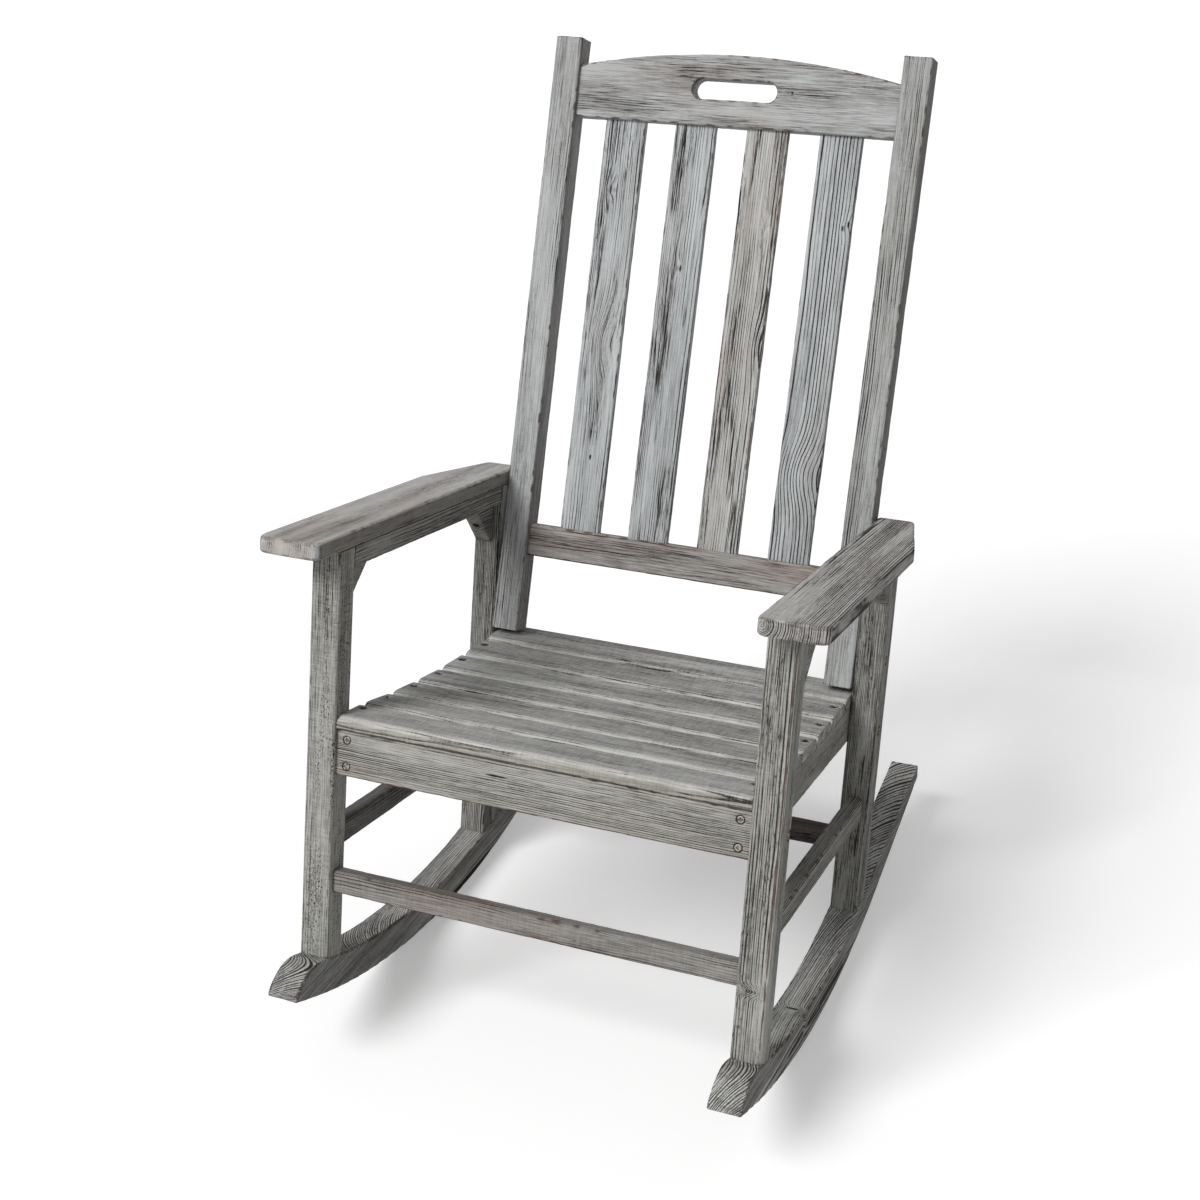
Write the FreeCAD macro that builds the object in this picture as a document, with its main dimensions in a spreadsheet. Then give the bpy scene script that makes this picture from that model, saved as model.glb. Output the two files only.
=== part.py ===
"""Porch rocking chair of flat boards and square posts, as a parametric document.

The chair is laid out with its legs upright: X is the width, Y runs back from the front legs' front
face, and Z rises from the lowest point of the rockers' sole. The back frame has a layout of its own,
reclined against the legs. The finished chair is then turned to the lean at which it rests on the
floor, and moved so that its box stands centred on the origin.
"""
import FreeCAD, Part

import math
import os

import Sketcher
from FreeCAD import Placement, Rotation, Vector

SIZES = (
    ("lean_angle", 10.0, "degrees that the chair leans back on its rockers at rest"),
    ("recline_angle", 7.85, "degrees that the back posts lean back from the legs"),
    ("rocker_radius", 1040.0, "radius of the rocker's sole"),
    ("rocker_center_back", 234.6, "sole's centre behind the front legs' front face"),
    ("rocker_width", 41.0, "rocker across its thickness"),
    ("rocker_depth", 45.0, "rocker from sole to top"),
    ("toe_reach", 73.0, "toe ahead of the front legs"),
    ("toe_face_height", 7.5, "flat front of the toe"),
    ("toe_round_reach", 12.0, "where the toe's round meets the top, ahead of the front legs"),
    ("straight_reach", 86.5, "where the sole runs on straight, behind the rear legs"),
    ("taper_reach", 64.0, "where the top starts to taper, behind the rear legs"),
    ("tail_reach", 316.42, "lower corner of the tail behind the rear legs"),
    ("tail_depth", 24.0, "tail's square end"),
    ("rocker_edge", 2.5, "rounding of the rocker's edges"),
    ("seat_width", 523.0, "clear width between the legs"),
    ("leg_width", 38.0, "legs across"),
    ("front_leg_depth", 38.0, "front legs from front to back"),
    ("rear_leg_depth", 45.0, "rear legs from front to back"),
    ("leg_gap", 428.0, "clear length between front and rear legs"),
    ("leg_edge", 3.5, "rounding of the legs' edges"),
    ("rocker_peg_radius", 10.0, "peg that joins a leg to its rocker"),
    ("rocker_peg_depth", 22.0, "peg in the rocker"),
    ("arm_peg_radius", 8.0, "peg that joins a leg to its arm"),
    ("arm_peg_depth", 11.0, "peg in the arm"),
    ("peg_clearance", 0.2, "play round a peg"),
    ("joint_clearance", 0.3, "play round a tenon"),
    ("cut_overrun", 2.0, "how far a cut runs past a face"),
    ("arm_underside", 592.6, "arms' underside above the sole"),
    ("arm_thick", 21.0, "arms"),
    ("arm_width", 81.4, "arms at the front"),
    ("arm_rear_width", 49.0, "arms at the rear end"),
    ("arm_front_reach", 56.0, "arms ahead of the front legs"),
    ("arm_kink_reach", 95.0, "where the arms start to narrow, ahead of the rear legs"),
    ("arm_rear_reach", 14.0, "arms behind the rear legs"),
    ("arm_front_round", 13.0, "arms' front corners"),
    ("arm_rear_round", 8.0, "arms' rear corners"),
    ("arm_edge", 4.0, "rounding of the arms' edges"),
    ("arm_rail_width", 36.0, "rail under the arm, across"),
    ("arm_rail_height", 25.5, "rail under the arm"),
    ("board_edge", 2.5, "rounding of rails and stretchers"),
    ("block_leg", 57.0, "corner block's two square sides"),
    ("block_thick", 24.5, "corner block"),
    ("block_inset", 11.5, "corner block from the legs' inner face"),
    ("block_edge", 1.2, "rounding of the corner block"),
    ("apron_recess", 6.7, "apron behind the front legs' front face"),
    ("apron_thick", 18.0, "front apron"),
    ("apron_rise", 3.0, "apron's underside above the side rails' underside"),
    ("seat_low_height", 373.8, "seat's lowest place above the sole"),
    ("seat_low_back", 306.5, "seat's lowest place behind the front"),
    ("seat_radius", 2000.0, "dip of the seat"),
    ("scoop_back", 71.0, "where the dip starts behind the front"),
    ("front_slope_share", 0.035, "fall of the front slat over its width"),
    ("side_rail_thick", 24.0, "seat side rail"),
    ("side_rail_depth", 63.2, "side rail's underside below its lowest top"),
    ("rear_rail_thick", 18.0, "rear seat rail"),
    ("rear_rail_inset", 6.0, "rear seat rail from the side rails' rear ends"),
    ("rear_tenon_length", 12.0, "rear seat rail's tenon"),
    ("rear_tenon_height", 16.0, "rear seat rail's tenon"),
    ("rear_tenon_thick", 8.0, "rear seat rail's tenon"),
    ("rear_tenon_rise", 7.0, "tenon above the rail's underside"),
    ("slat_thick", 16.0, "seat slats"),
    ("seat_reach", 3.1, "rear edge of the seat behind the rear legs, along the slats"),
    ("slat_gap", 4.1, "gap between seat slats"),
    ("front_slat_width", 65.7, "first seat slat"),
    ("front_slat_gap", 4.0, "gap behind the first seat slat"),
    ("slat_round", 10.0, "rounding of the slats' upper long edges"),
    ("slat_end_play", 0.25, "seat slats short of the legs at each end"),
    ("side_stretcher_thick", 21.3, "side stretchers"),
    ("side_stretcher_height", 31.8, "side stretchers"),
    ("side_stretcher_inset", 9.4, "side stretchers from the legs' inner face"),
    ("side_stretcher_underside", 205.3, "side stretchers above the sole"),
    ("cross_stretcher_thick", 18.0, "front and rear stretchers"),
    ("cross_stretcher_height", 30.0, "front and rear stretchers"),
    ("front_stretcher_recess", 8.0, "front stretcher behind the legs' front face"),
    ("front_stretcher_underside", 158.6, "front stretcher above the sole"),
    ("rear_stretcher_recess", 4.0, "rear stretcher behind the rear legs' front face"),
    ("rear_stretcher_underside", 156.1, "rear stretcher above the sole"),
    ("stretcher_edge", 4.0, "rounding of the stretchers"),
    ("tenon_length", 15.0, "stretchers' tenons"),
    ("tenon_shoulder", 4.0, "stretchers' tenons from the board's faces"),
    ("tenon_step", 6.0, "stretchers' tenons from the board's edges"),
    ("post_reach", 9.1, "posts' lower front corner ahead of the rear legs"),
    ("post_rise", 16.7, "posts' lower front corner above the side rails' lowest top"),
    ("post_width", 38.0, "back posts across"),
    ("post_depth", 38.0, "back posts from front to back"),
    ("post_length", 827.8, "back posts"),
    ("post_edge", 2.5, "rounding of the posts' edges"),
    ("post_end_edge", 1.5, "easing of the posts' ends"),
    ("crest_recess", 6.5, "crest rail behind the posts' front face"),
    ("crest_thick", 25.0, "crest rail"),
    ("crest_drop", 106.3, "crest rail's underside below the posts' top"),
    ("crest_end_height", 70.6, "crest rail at its ends"),
    ("crest_arch", 24.3, "rise of the crest rail's arch"),
    ("crest_tenon_length", 20.0, "crest rail's tenon"),
    ("crest_tenon_thick", 12.0, "crest rail's tenon"),
    ("crest_tenon_height", 40.0, "crest rail's tenon"),
    ("slot_width", 117.0, "hand slot"),
    ("slot_height", 26.0, "hand slot"),
    ("slot_rise", 35.5, "hand slot above the crest rail's underside"),
    ("lower_rail_recess", 9.0, "lower back rail behind the posts' front face"),
    ("lower_rail_thick", 20.0, "lower back rail"),
    ("lower_rail_height", 45.4, "lower back rail"),
    ("lower_rail_underside", 108.3, "lower back rail's underside along the posts"),
    ("lower_tenon_length", 20.0, "lower back rail's tenon"),
    ("lower_tenon_thick", 10.0, "lower back rail's tenon"),
    ("lower_tenon_height", 30.0, "lower back rail's tenon"),
    ("back_slat_recess", 13.0, "back slats behind the posts' front face"),
    ("back_slat_thick", 12.0, "back slats"),
    ("back_slat_width", 57.5, "back slats"),
    ("back_slat_groove", 12.0, "back slats in their rails"),
    ("back_slat_edge", 1.5, "rounding of the back slats"),
    ("screw_head_radius", 4.4, "heads of apron and slat screws"),
    ("screw_head_height", 2.4, "heads of apron and slat screws"),
    ("screw_shank_radius", 1.9, "shanks of apron and slat screws"),
    ("cross_width", 1.3, "recess in the screw heads"),
    ("cross_length", 5.2, "recess in the screw heads"),
    ("cross_depth", 1.4, "recess in the screw heads"),
    ("head_edge", 0.6, "rounding of the heads"),
    ("head_clearance", 0.7, "play round a head"),
    ("shank_clearance", 0.2, "play round a shank"),
    ("apron_screw_length", 36.0, "below the head"),
    ("apron_screw_inset", 13.5, "apron screws from the legs' inner face"),
    ("apron_screw_drop", 0.2, "apron screw heads below the face"),
    ("apron_screw_high", 12.7, "upper apron screws below the apron's top"),
    ("apron_screw_low", 13.0, "lower apron screws above the apron's underside"),
    ("slat_screw_length", 36.0, "below the head"),
    ("slat_screw_inset", 10.0, "slat screws from the slats' ends"),
    ("slat_screw_drop", 1.6, "slat screw heads below the face"),
    ("slat_screw_share", 0.64, "slat screws back across the slat's width"),
    ("front_screw_share", 0.73, "front slat's screws back across its width"),
    ("block_screw_length", 56.0, "below the head"),
    ("block_screw_drop", 1.0, "block screw heads below the face"),
    ("bolt_head_radius", 5.6, "domed bolt heads"),
    ("bolt_head_height", 3.2, "domed bolt heads"),
    ("bolt_rim", 1.0, "rim of the domed heads"),
    ("bolt_shank_radius", 3.0, "bolts"),
    ("bolt_cover", 3.8, "wood left past the tips of the rail bolts"),
    ("bolt_socket_radius", 2.3, "six-sided socket, to its corners"),
    ("bolt_socket_depth", 1.9, "six-sided socket"),
    ("bolt_seat_depth", 2.2, "bolt heads' seats in the legs"),
    ("front_bolt_inset", 8.0, "front rail bolt ahead of the front legs' rear face"),
    ("front_bolt_rise", 33.5, "front rail bolt above the side rail's underside"),
    ("rear_bolt_inset", 22.0, "rear rail bolt behind the rear legs' front face"),
    ("rear_bolt_rise", 19.0, "rear rail bolt above the side rail's underside"),
    ("post_bolt_inset", 20.0, "post bolt behind the rear legs' front face"),
    ("post_bolt_rise", 38.1, "post bolt above the posts' lower front corner"),
)

SEAT_SLATS = 7
BACK_SLATS = 4
LEFT, RIGHT = -1, 1
SIDE_NAMES = {LEFT: "left", RIGHT: "right"}
FACING = 0.99
SLOPING = 0.1
TOUCHING = 0.001


class Size:
    """A number together with the sheet formula that gives it, so that one sum serves both."""

    def __init__(self, value, formula):
        self.value = float(value)
        self.formula = formula

    def __float__(self):
        return self.value

    def __neg__(self):
        return Size(-self.value, f"(0 - {self.formula})")

    def __add__(self, other):
        other = as_size(other)
        return Size(self.value + other.value, f"({self.formula} + {other.formula})")

    def __radd__(self, other):
        return as_size(other) + self

    def __sub__(self, other):
        other = as_size(other)
        return Size(self.value - other.value, f"({self.formula} - {other.formula})")

    def __rsub__(self, other):
        return as_size(other) - self

    def __mul__(self, other):
        other = as_size(other)
        return Size(self.value * other.value, f"({self.formula} * {other.formula})")

    def __rmul__(self, other):
        return as_size(other) * self

    def __truediv__(self, other):
        other = as_size(other)
        return Size(self.value / other.value, f"({self.formula} / {other.formula})")


def as_size(value):
    """Gives a plain number the form of a size."""
    return value if isinstance(value, Size) else Size(value, repr(float(value)))


def root(size):
    """Square root of a size."""
    return Size(math.sqrt(size.value), f"sqrt({size.formula})")


def across(size, distance):
    """Third side of a right triangle with the hypotenuse size and the side distance."""
    return root(size * size - distance * distance)


class SheetSizes:
    """The driving sizes, each read by its alias in the sheet."""

    def __init__(self, document, rows):
        self._sheet = document.addObject("Spreadsheet::Sheet", "Sizes")
        for row, (alias, value, note) in enumerate(rows, start=1):
            self._sheet.set(f"A{row}", alias)
            self._sheet.set(f"B{row}", str(value))
            self._sheet.setAlias(f"B{row}", alias)
            self._sheet.set(f"C{row}", note)
        document.recompute()

    def __getattr__(self, alias):
        return Size(self._sheet.get(alias), f"Sizes.{alias}")


doc = FreeCAD.newDocument("rocking_chair")
S = SheetSizes(doc, SIZES)
pieces = {}


class Box:
    """A block between two corners, each direction as a pair of sizes."""

    def __init__(self, x, y, z):
        self.x = tuple(as_size(edge) for edge in x)
        self.y = tuple(as_size(edge) for edge in y)
        self.z = tuple(as_size(edge) for edge in z)

    def grown(self, play):
        """The same block with play on every side, as a mortise for it."""
        return Box(*((low - play, high + play) for low, high in (self.x, self.y, self.z)))


def mirrored(side, near, far):
    """Span from near to far on the right of the middle, or its mirror image on the left."""
    return (near, far) if side == RIGHT else (-far, -near)


def vector(*sizes):
    """Point or direction with three sizes."""
    return Vector(*(float(size) for size in sizes))


def origin_plane(body, role):
    """One of a body's own three planes."""
    return next(item for item in body.Origin.OriginFeatures if item.Role == role)


def new_sketch(body, name, role, offset):
    """Sketch on one of the body's planes, moved by offset in the sketch's own directions."""
    sketch = body.newObject("Sketcher::SketchObject", name)
    sketch.AttachmentSupport = [(origin_plane(body, role), "")]
    sketch.MapMode = "FlatFace"
    for axis, size in zip("xyz", offset):
        sketch.setExpression(f"AttachmentOffset.Base.{axis}", as_size(size).formula)
    return sketch


def draw_outline(sketch, corners, arcs=None):
    """Closed outline through corners, all of them tied to their sizes.

    arcs maps the number of a side to the centre and radius of its arc, of less than half a turn.
    """
    arcs = arcs or {}
    count = len(corners)
    starts = []
    for number in range(count):
        first = vector(*corners[number], 0)
        last = vector(*corners[(number + 1) % count], 0)
        if number not in arcs:
            edge = sketch.addGeometry(Part.LineSegment(first, last), False)
            starts.append((edge, 1, 2))
            continue
        center, radius = arcs[number]
        center = vector(*center, 0)
        angles = [math.atan2(*reversed((point - center)[:2])) for point in (first, last)]
        sweep = (angles[1] - angles[0]) % math.tau
        forward = sweep < math.pi
        begin = angles[0] if forward else angles[1]
        turn = sweep if forward else math.tau - sweep
        circle = Part.Circle(center, Vector(0, 0, 1), float(radius))
        edge = sketch.addGeometry(Part.ArcOfCircle(circle, begin, begin + turn), False)
        starts.append((edge, 1, 2) if forward else (edge, 2, 1))
        tie(sketch, Sketcher.Constraint("Radius", edge, float(radius)), radius)
    for number, (edge, begin, end) in enumerate(starts):
        follower, follower_begin, _ = starts[(number + 1) % count]
        sketch.addConstraint(Sketcher.Constraint("Coincident", edge, end, follower, follower_begin))
        for kind, size in zip(("DistanceX", "DistanceY"), corners[number]):
            tie(sketch, Sketcher.Constraint(kind, -1, 1, edge, begin, float(size)), as_size(size))


def tie(sketch, constraint, size):
    """Adds a constraint and binds it to its size."""
    number = sketch.addConstraint(constraint)
    sketch.setExpression(f"Constraints[{number}]", size.formula)


def rectangle(low, high):
    """Corners of a rectangle between two corners."""
    return [low, (high[0], low[1]), high, (low[0], high[1])]


def pad(body, name, sketch, length):
    """Board of a sketch, along the sketch's normal."""
    feature = body.newObject("PartDesign::Pad", name)
    feature.Profile = sketch
    feature.setExpression("Length", as_size(length).formula)
    doc.recompute()
    return feature


def pocket(body, name, sketch, length):
    """Cut of a sketch, along the sketch's normal, which has to take something away."""
    before = body.Shape.Volume
    feature = body.newObject("PartDesign::Pocket", name)
    feature.Profile = sketch
    feature.Reversed = True
    feature.setExpression("Length", as_size(length).formula)
    doc.recompute()
    check_taken(body, name, before)
    return feature


def check_taken(body, name, before):
    """Stops when a cut left the body as it was."""
    if not body.Shape.Volume < before:
        raise RuntimeError(f"{body.Label}: {name} cuts nothing")


def box_pad(body, name, box):
    """Block added to a body."""
    sketch = new_sketch(body, f"{name}_outline", "XY_Plane", (0, 0, box.z[0]))
    draw_outline(sketch, rectangle((box.x[0], box.y[0]), (box.x[1], box.y[1])))
    return pad(body, name, sketch, box.z[1] - box.z[0])


def box_cut(body, name, box):
    """Block cut out of a body."""
    sketch = new_sketch(body, f"{name}_outline", "XY_Plane", (0, 0, box.z[0]))
    draw_outline(sketch, rectangle((box.x[0], box.y[0]), (box.x[1], box.y[1])))
    return pocket(body, name, sketch, box.z[1] - box.z[0])


def along(start, direction):
    """Placement whose Z axis runs from start in the direction."""
    return Placement(start, Rotation(Vector(0, 0, 1), direction))


def peg(body, name, place, radius, length):
    """Round peg added to a body, along the placement's Z axis."""
    return round_feature(body, name, "PartDesign::AdditiveCylinder", place, radius, length)


def bore(body, name, place, radius, length):
    """Round hole cut in a body, along the placement's Z axis."""
    before = body.Shape.Volume
    feature = round_feature(body, name, "PartDesign::SubtractiveCylinder", place, radius, length)
    check_taken(body, name, before)
    return feature


def round_feature(body, name, kind, place, radius, length):
    """Cylinder feature with its sizes tied to the sheet."""
    feature = body.newObject(kind, name)
    feature.Placement = place
    feature.setExpression("Radius", as_size(radius).formula)
    feature.setExpression("Height", as_size(length).formula)
    doc.recompute()
    return feature


def middle(edge):
    """Point halfway along an edge."""
    return edge.valueAt((edge.FirstParameter + edge.LastParameter) / 2)


def runs(edge, axis):
    """Tells whether an edge runs along an axis, x, y or z, at its middle."""
    tangent = edge.tangentAt((edge.FirstParameter + edge.LastParameter) / 2)
    return abs(getattr(tangent, axis)) > FACING


def ease(body, name, base, radius, wanted):
    """Rounds the edges of the base feature that wanted picks."""
    edges = [f"Edge{number}" for number, edge in enumerate(base.Shape.Edges, start=1) if wanted(edge)]
    feature = body.newObject("PartDesign::Fillet", name)
    feature.Base = (base, edges)
    feature.setExpression("Radius", radius.formula)
    doc.recompute()
    return feature


def new_body(label):
    """Body with a label of its own."""
    body = doc.addObject("PartDesign::Body", label)
    body.Label = label
    return body


def board(label, box, axis, edge_radius):
    """Square-sawn board along an axis, with its four long edges rounded."""
    body = new_body(label)
    blank = box_pad(body, "blank", box)
    ease(body, "rounded_edges", blank, edge_radius, lambda edge: runs(edge, axis))
    return body


def keep(body, place):
    """Counts a finished piece as part of the chair, at its place."""
    pieces[body.Label] = (body, place)
    return body


seat_half = S.seat_width / 2
leg_outer = seat_half + S.leg_width
leg_middle = seat_half + S.leg_width / 2
rear_leg_front = S.front_leg_depth + S.leg_gap
rear_leg_rear = rear_leg_front + S.rear_leg_depth
apron_back = S.apron_recess + S.apron_thick
straight_back = rear_leg_rear + S.straight_reach
tail_back = rear_leg_rear + S.tail_reach
rocker_top_radius = S.rocker_radius - S.rocker_depth
rocker_center = (S.rocker_center_back, S.rocker_radius)
rail_radius = S.seat_radius + S.slat_thick
rail_center = (S.seat_low_back, S.seat_low_height + S.seat_radius)
side_rail_underside = S.seat_low_height - S.side_rail_depth
apron_underside = side_rail_underside + S.apron_rise
post_inner = seat_half - S.post_width
post_back = rear_leg_front - S.post_reach
post_foot = S.seat_low_height + S.post_rise
lean = math.radians(float(S.lean_angle))
recline = Rotation(Vector(1, 0, 0), -float(S.recline_angle))
back_place = Placement(vector(0, post_back, post_foot), recline)


def rocker_height(radius, back):
    """Height of an arc of the rocker, of this radius, at a distance behind the front."""
    return S.rocker_radius - across(radius, back - S.rocker_center_back)


def rail_height(back):
    """Height of the side rail's dipped top at a distance behind the front."""
    return rail_center[1] - across(rail_radius, back - S.seat_low_back)


def tail_height(back):
    """Height of the sole's straight tail at a distance behind the front."""
    reach = straight_back - S.rocker_center_back
    slope = reach / across(S.rocker_radius, reach)
    return rocker_height(S.rocker_radius, straight_back) + (back - straight_back) * slope


def rest_placement():
    """Turns the laid-out chair to its lean, stands it on the floor and centres its box."""
    toe_back = -S.toe_reach
    corners = ((toe_back, rocker_height(S.rocker_radius, toe_back)), (tail_back, tail_height(tail_back)))
    ends = [float(back) * math.cos(lean) + float(height) * math.sin(lean) for back, height in corners]
    radius = float(S.rocker_radius)
    sole = radius * math.cos(lean) - float(S.rocker_center_back) * math.sin(lean) - radius
    return Placement(Vector(0, -sum(ends) / 2, -sole), Rotation(Vector(1, 0, 0), -math.degrees(lean)))


rest = rest_placement()
back_rest = rest.multiply(back_place)

# Rockers

peg_middles = {"front": S.front_leg_depth / 2, "rear": rear_leg_front + S.rear_leg_depth / 2}


def build_rocker(side):
    """Sawn rocker: round sole with a straight tail, flat toe rounded into the top."""
    toe_back = -S.toe_reach
    toe_low = rocker_height(S.rocker_radius, toe_back)
    face_top = toe_low + S.toe_face_height
    round_back = -S.toe_round_reach
    round_height = rocker_height(rocker_top_radius, round_back)
    lean_y = (round_back - S.rocker_center_back) / rocker_top_radius
    lean_z = (round_height - S.rocker_radius) / rocker_top_radius
    gap_y = toe_back - round_back
    gap_z = face_top - round_height
    toe_radius = (gap_y * gap_y + gap_z * gap_z) / ((gap_y * lean_y + gap_z * lean_z) * 2)
    toe_center = (round_back + toe_radius * lean_y, round_height + toe_radius * lean_z)
    taper_back = rear_leg_rear + S.taper_reach
    tail_low = tail_height(tail_back)
    reach = straight_back - S.rocker_center_back
    tail_share_y = reach / S.rocker_radius
    tail_share_z = across(S.rocker_radius, reach) / S.rocker_radius
    tail_top = (tail_back - S.tail_depth * tail_share_y, tail_low + S.tail_depth * tail_share_z)
    corners = [
        (toe_back, toe_low),
        (toe_back, face_top),
        (round_back, round_height),
        (taper_back, rocker_height(rocker_top_radius, taper_back)),
        tail_top,
        (tail_back, tail_low),
        (straight_back, rocker_height(S.rocker_radius, straight_back)),
    ]
    arcs = {
        1: (toe_center, toe_radius),
        2: (rocker_center, rocker_top_radius),
        6: (rocker_center, S.rocker_radius),
    }
    near = leg_middle - S.rocker_width / 2
    low, _ = mirrored(side, near, near + S.rocker_width)
    body = new_body(f"rocker_{SIDE_NAMES[side]}")
    sketch = new_sketch(body, "outline", "YZ_Plane", (0, 0, low))
    draw_outline(sketch, corners, arcs)
    blank = pad(body, "blank", sketch, S.rocker_width)
    short = float(S.rocker_depth)
    ease(body, "rounded_edges", blank, S.rocker_edge,
         lambda edge: not runs(edge, "x") and edge.Length > short)
    for end, back in peg_middles.items():
        top = rocker_height(rocker_top_radius, back)
        foot = top - S.rocker_peg_depth - S.peg_clearance
        place = along(vector(leg_middle * side, back, foot), Vector(0, 0, 1))
        depth = S.rocker_peg_depth + S.rocker_depth
        bore(body, f"{end}_peg_hole", place, S.rocker_peg_radius + S.peg_clearance, depth)
    return keep(body, rest)


# Legs


def tenon_of(box, ends, step, shoulder, length):
    """Stub tenon past one end of a board that runs along the axis ends names."""
    axis, direction = ends
    spans = {"x": box.x, "y": box.y, "z": (box.z[0] + step, box.z[1] - step)}
    cross = "y" if axis == "x" else "x"
    spans[cross] = (spans[cross][0] + shoulder, spans[cross][1] - shoulder)
    low, high = spans[axis]
    spans[axis] = (high, high + length) if direction > 0 else (low - length, low)
    return Box(spans["x"], spans["y"], spans["z"])


def stretcher_tenon(box, axis, direction):
    """Tenon of a stretcher at one end."""
    return tenon_of(box, (axis, direction), S.tenon_step, S.tenon_shoulder, S.tenon_length)


def side_stretcher_box(side):
    """Side stretcher between its two legs."""
    near = seat_half + S.side_stretcher_inset
    low = S.side_stretcher_underside
    spans = mirrored(side, near, near + S.side_stretcher_thick)
    return Box(spans, (S.front_leg_depth, rear_leg_front), (low, low + S.side_stretcher_height))


def cross_stretcher_box(front, underside):
    """Front or rear stretcher between the legs."""
    depth = (front, front + S.cross_stretcher_thick)
    return Box((-seat_half, seat_half), depth, (underside, underside + S.cross_stretcher_height))


front_stretcher = cross_stretcher_box(S.front_stretcher_recess, S.front_stretcher_underside)
rear_stretcher = cross_stretcher_box(rear_leg_front + S.rear_stretcher_recess, S.rear_stretcher_underside)


def bolt_place(side, back, height):
    """Bolt from a leg's outer face towards the middle, its Z axis pointing outwards."""
    seat = leg_outer - S.bolt_seat_depth
    return along(vector(seat * side, back, height), Vector(side, 0, 0))


rail_bolt_spots = {
    "front": (S.front_leg_depth - S.front_bolt_inset, side_rail_underside + S.front_bolt_rise),
    "rear": (rear_leg_front + S.rear_bolt_inset, side_rail_underside + S.rear_bolt_rise),
}
post_bolt_spot = (rear_leg_front + S.post_bolt_inset, post_foot + S.post_bolt_rise)
bolt_length = S.leg_width + S.side_rail_thick - S.bolt_seat_depth - S.bolt_cover


def bore_bolt(body, name, place):
    """Hole for a bolt's shank, and the seat of its head."""
    radius = S.bolt_shank_radius + S.shank_clearance
    foot = place.multiply(Placement(vector(0, 0, -bolt_length), Rotation()))
    bore(body, f"{name}_hole", foot, radius, bolt_length + S.bolt_seat_depth)


def build_leg(side, end):
    """Square leg, cut to the rocker's top, with a peg at each end."""
    front, rear = (0, S.front_leg_depth) if end == "front" else (rear_leg_front, rear_leg_rear)
    front = as_size(front)
    corners = [
        (front, rocker_height(rocker_top_radius, front)),
        (rear, rocker_height(rocker_top_radius, rear)),
        (rear, S.arm_underside),
        (front, S.arm_underside),
    ]
    low, _ = mirrored(side, seat_half, leg_outer)
    body = new_body(f"{end}_leg_{SIDE_NAMES[side]}")
    sketch = new_sketch(body, "outline", "YZ_Plane", (0, 0, low))
    draw_outline(sketch, corners, {0: (rocker_center, rocker_top_radius)})
    blank = pad(body, "blank", sketch, S.leg_width)
    ease(body, "rounded_edges", blank, S.leg_edge, lambda edge: runs(edge, "z"))
    back = peg_middles[end]
    foot = rocker_height(rocker_top_radius, back) - S.rocker_peg_depth
    place = along(vector(leg_middle * side, back, foot), Vector(0, 0, 1))
    peg(body, "rocker_peg", place, S.rocker_peg_radius, S.rocker_peg_depth * 2)
    head = S.arm_underside - S.arm_peg_depth
    place = along(vector(leg_middle * side, back, head), Vector(0, 0, 1))
    peg(body, "arm_peg", place, S.arm_peg_radius, S.arm_peg_depth * 2)
    towards = RIGHT if end == "rear" else LEFT
    mortise = stretcher_tenon(side_stretcher_box(side), "y", towards).grown(S.joint_clearance)
    box_cut(body, "side_stretcher_mortise", mortise)
    stretcher = front_stretcher if end == "front" else rear_stretcher
    box_cut(body, "cross_stretcher_mortise", stretcher_tenon(stretcher, "x", side).grown(S.joint_clearance))
    bolts = {"rail_bolt": bolt_place(side, *rail_bolt_spots[end])}
    if end == "rear":
        bolts["post_bolt"] = bolt_place(side, *post_bolt_spot)
    for name, place in bolts.items():
        bore_bolt(body, name, place)
        seat = S.bolt_head_radius + S.head_clearance
        bore(body, f"{name}_seat", place, seat, S.bolt_seat_depth + S.cut_overrun)
    bore_block_screw(body, side, end)
    return keep(body, rest)


# Arms, their rails and corner blocks

arm_rail_underside = S.arm_underside - S.arm_rail_height


def block_corner(end):
    """Square corner of a corner block, and the way it runs from its leg."""
    return (S.front_leg_depth, 1) if end == "front" else (rear_leg_front, -1)


def block_screw_place(side, end):
    """Block screw at the middle of the slanted face, its Z axis pointing out of the wood."""
    corner, way = block_corner(end)
    outwards = Vector(0, way, -1).normalize()
    near = seat_half + S.block_inset + S.block_thick / 2
    half = S.block_leg / 2
    face = vector(near * side, corner + half * way, arm_rail_underside - half)
    return along(face - outwards * float(S.block_screw_drop + S.screw_head_height), outwards)


def bore_block_screw(body, side, end):
    """Hole for a block screw's shank."""
    place = block_screw_place(side, end)
    foot = place.multiply(Placement(vector(0, 0, -S.block_screw_length), Rotation()))
    radius = S.screw_shank_radius + S.shank_clearance
    bore(body, f"{end}_block_screw_hole", foot, radius, S.block_screw_length)
    return place


def build_block(side, end):
    """Three-cornered block under the arm rail, against a leg."""
    corner, way = block_corner(end)
    tip = corner + S.block_leg * way
    corners = [
        (corner, arm_rail_underside),
        (tip, arm_rail_underside),
        (corner, arm_rail_underside - S.block_leg),
    ]
    near = seat_half + S.block_inset
    low, _ = mirrored(side, near, near + S.block_thick)
    body = new_body(f"{end}_block_{SIDE_NAMES[side]}")
    sketch = new_sketch(body, "outline", "YZ_Plane", (0, 0, low))
    draw_outline(sketch, corners)
    blank = pad(body, "blank", sketch, S.block_thick)

    def slanted(edge):
        tangent = edge.tangentAt(edge.FirstParameter)
        return abs(tangent.y) > SLOPING and abs(tangent.z) > SLOPING

    ease(body, "rounded_edges", blank, S.block_edge, slanted)
    place = bore_block_screw(body, side, end)
    depth = S.block_screw_drop + S.screw_head_height + S.cut_overrun
    bore(body, "head_seat", place, S.screw_head_radius + S.head_clearance, depth)
    return keep(body, rest)


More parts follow.
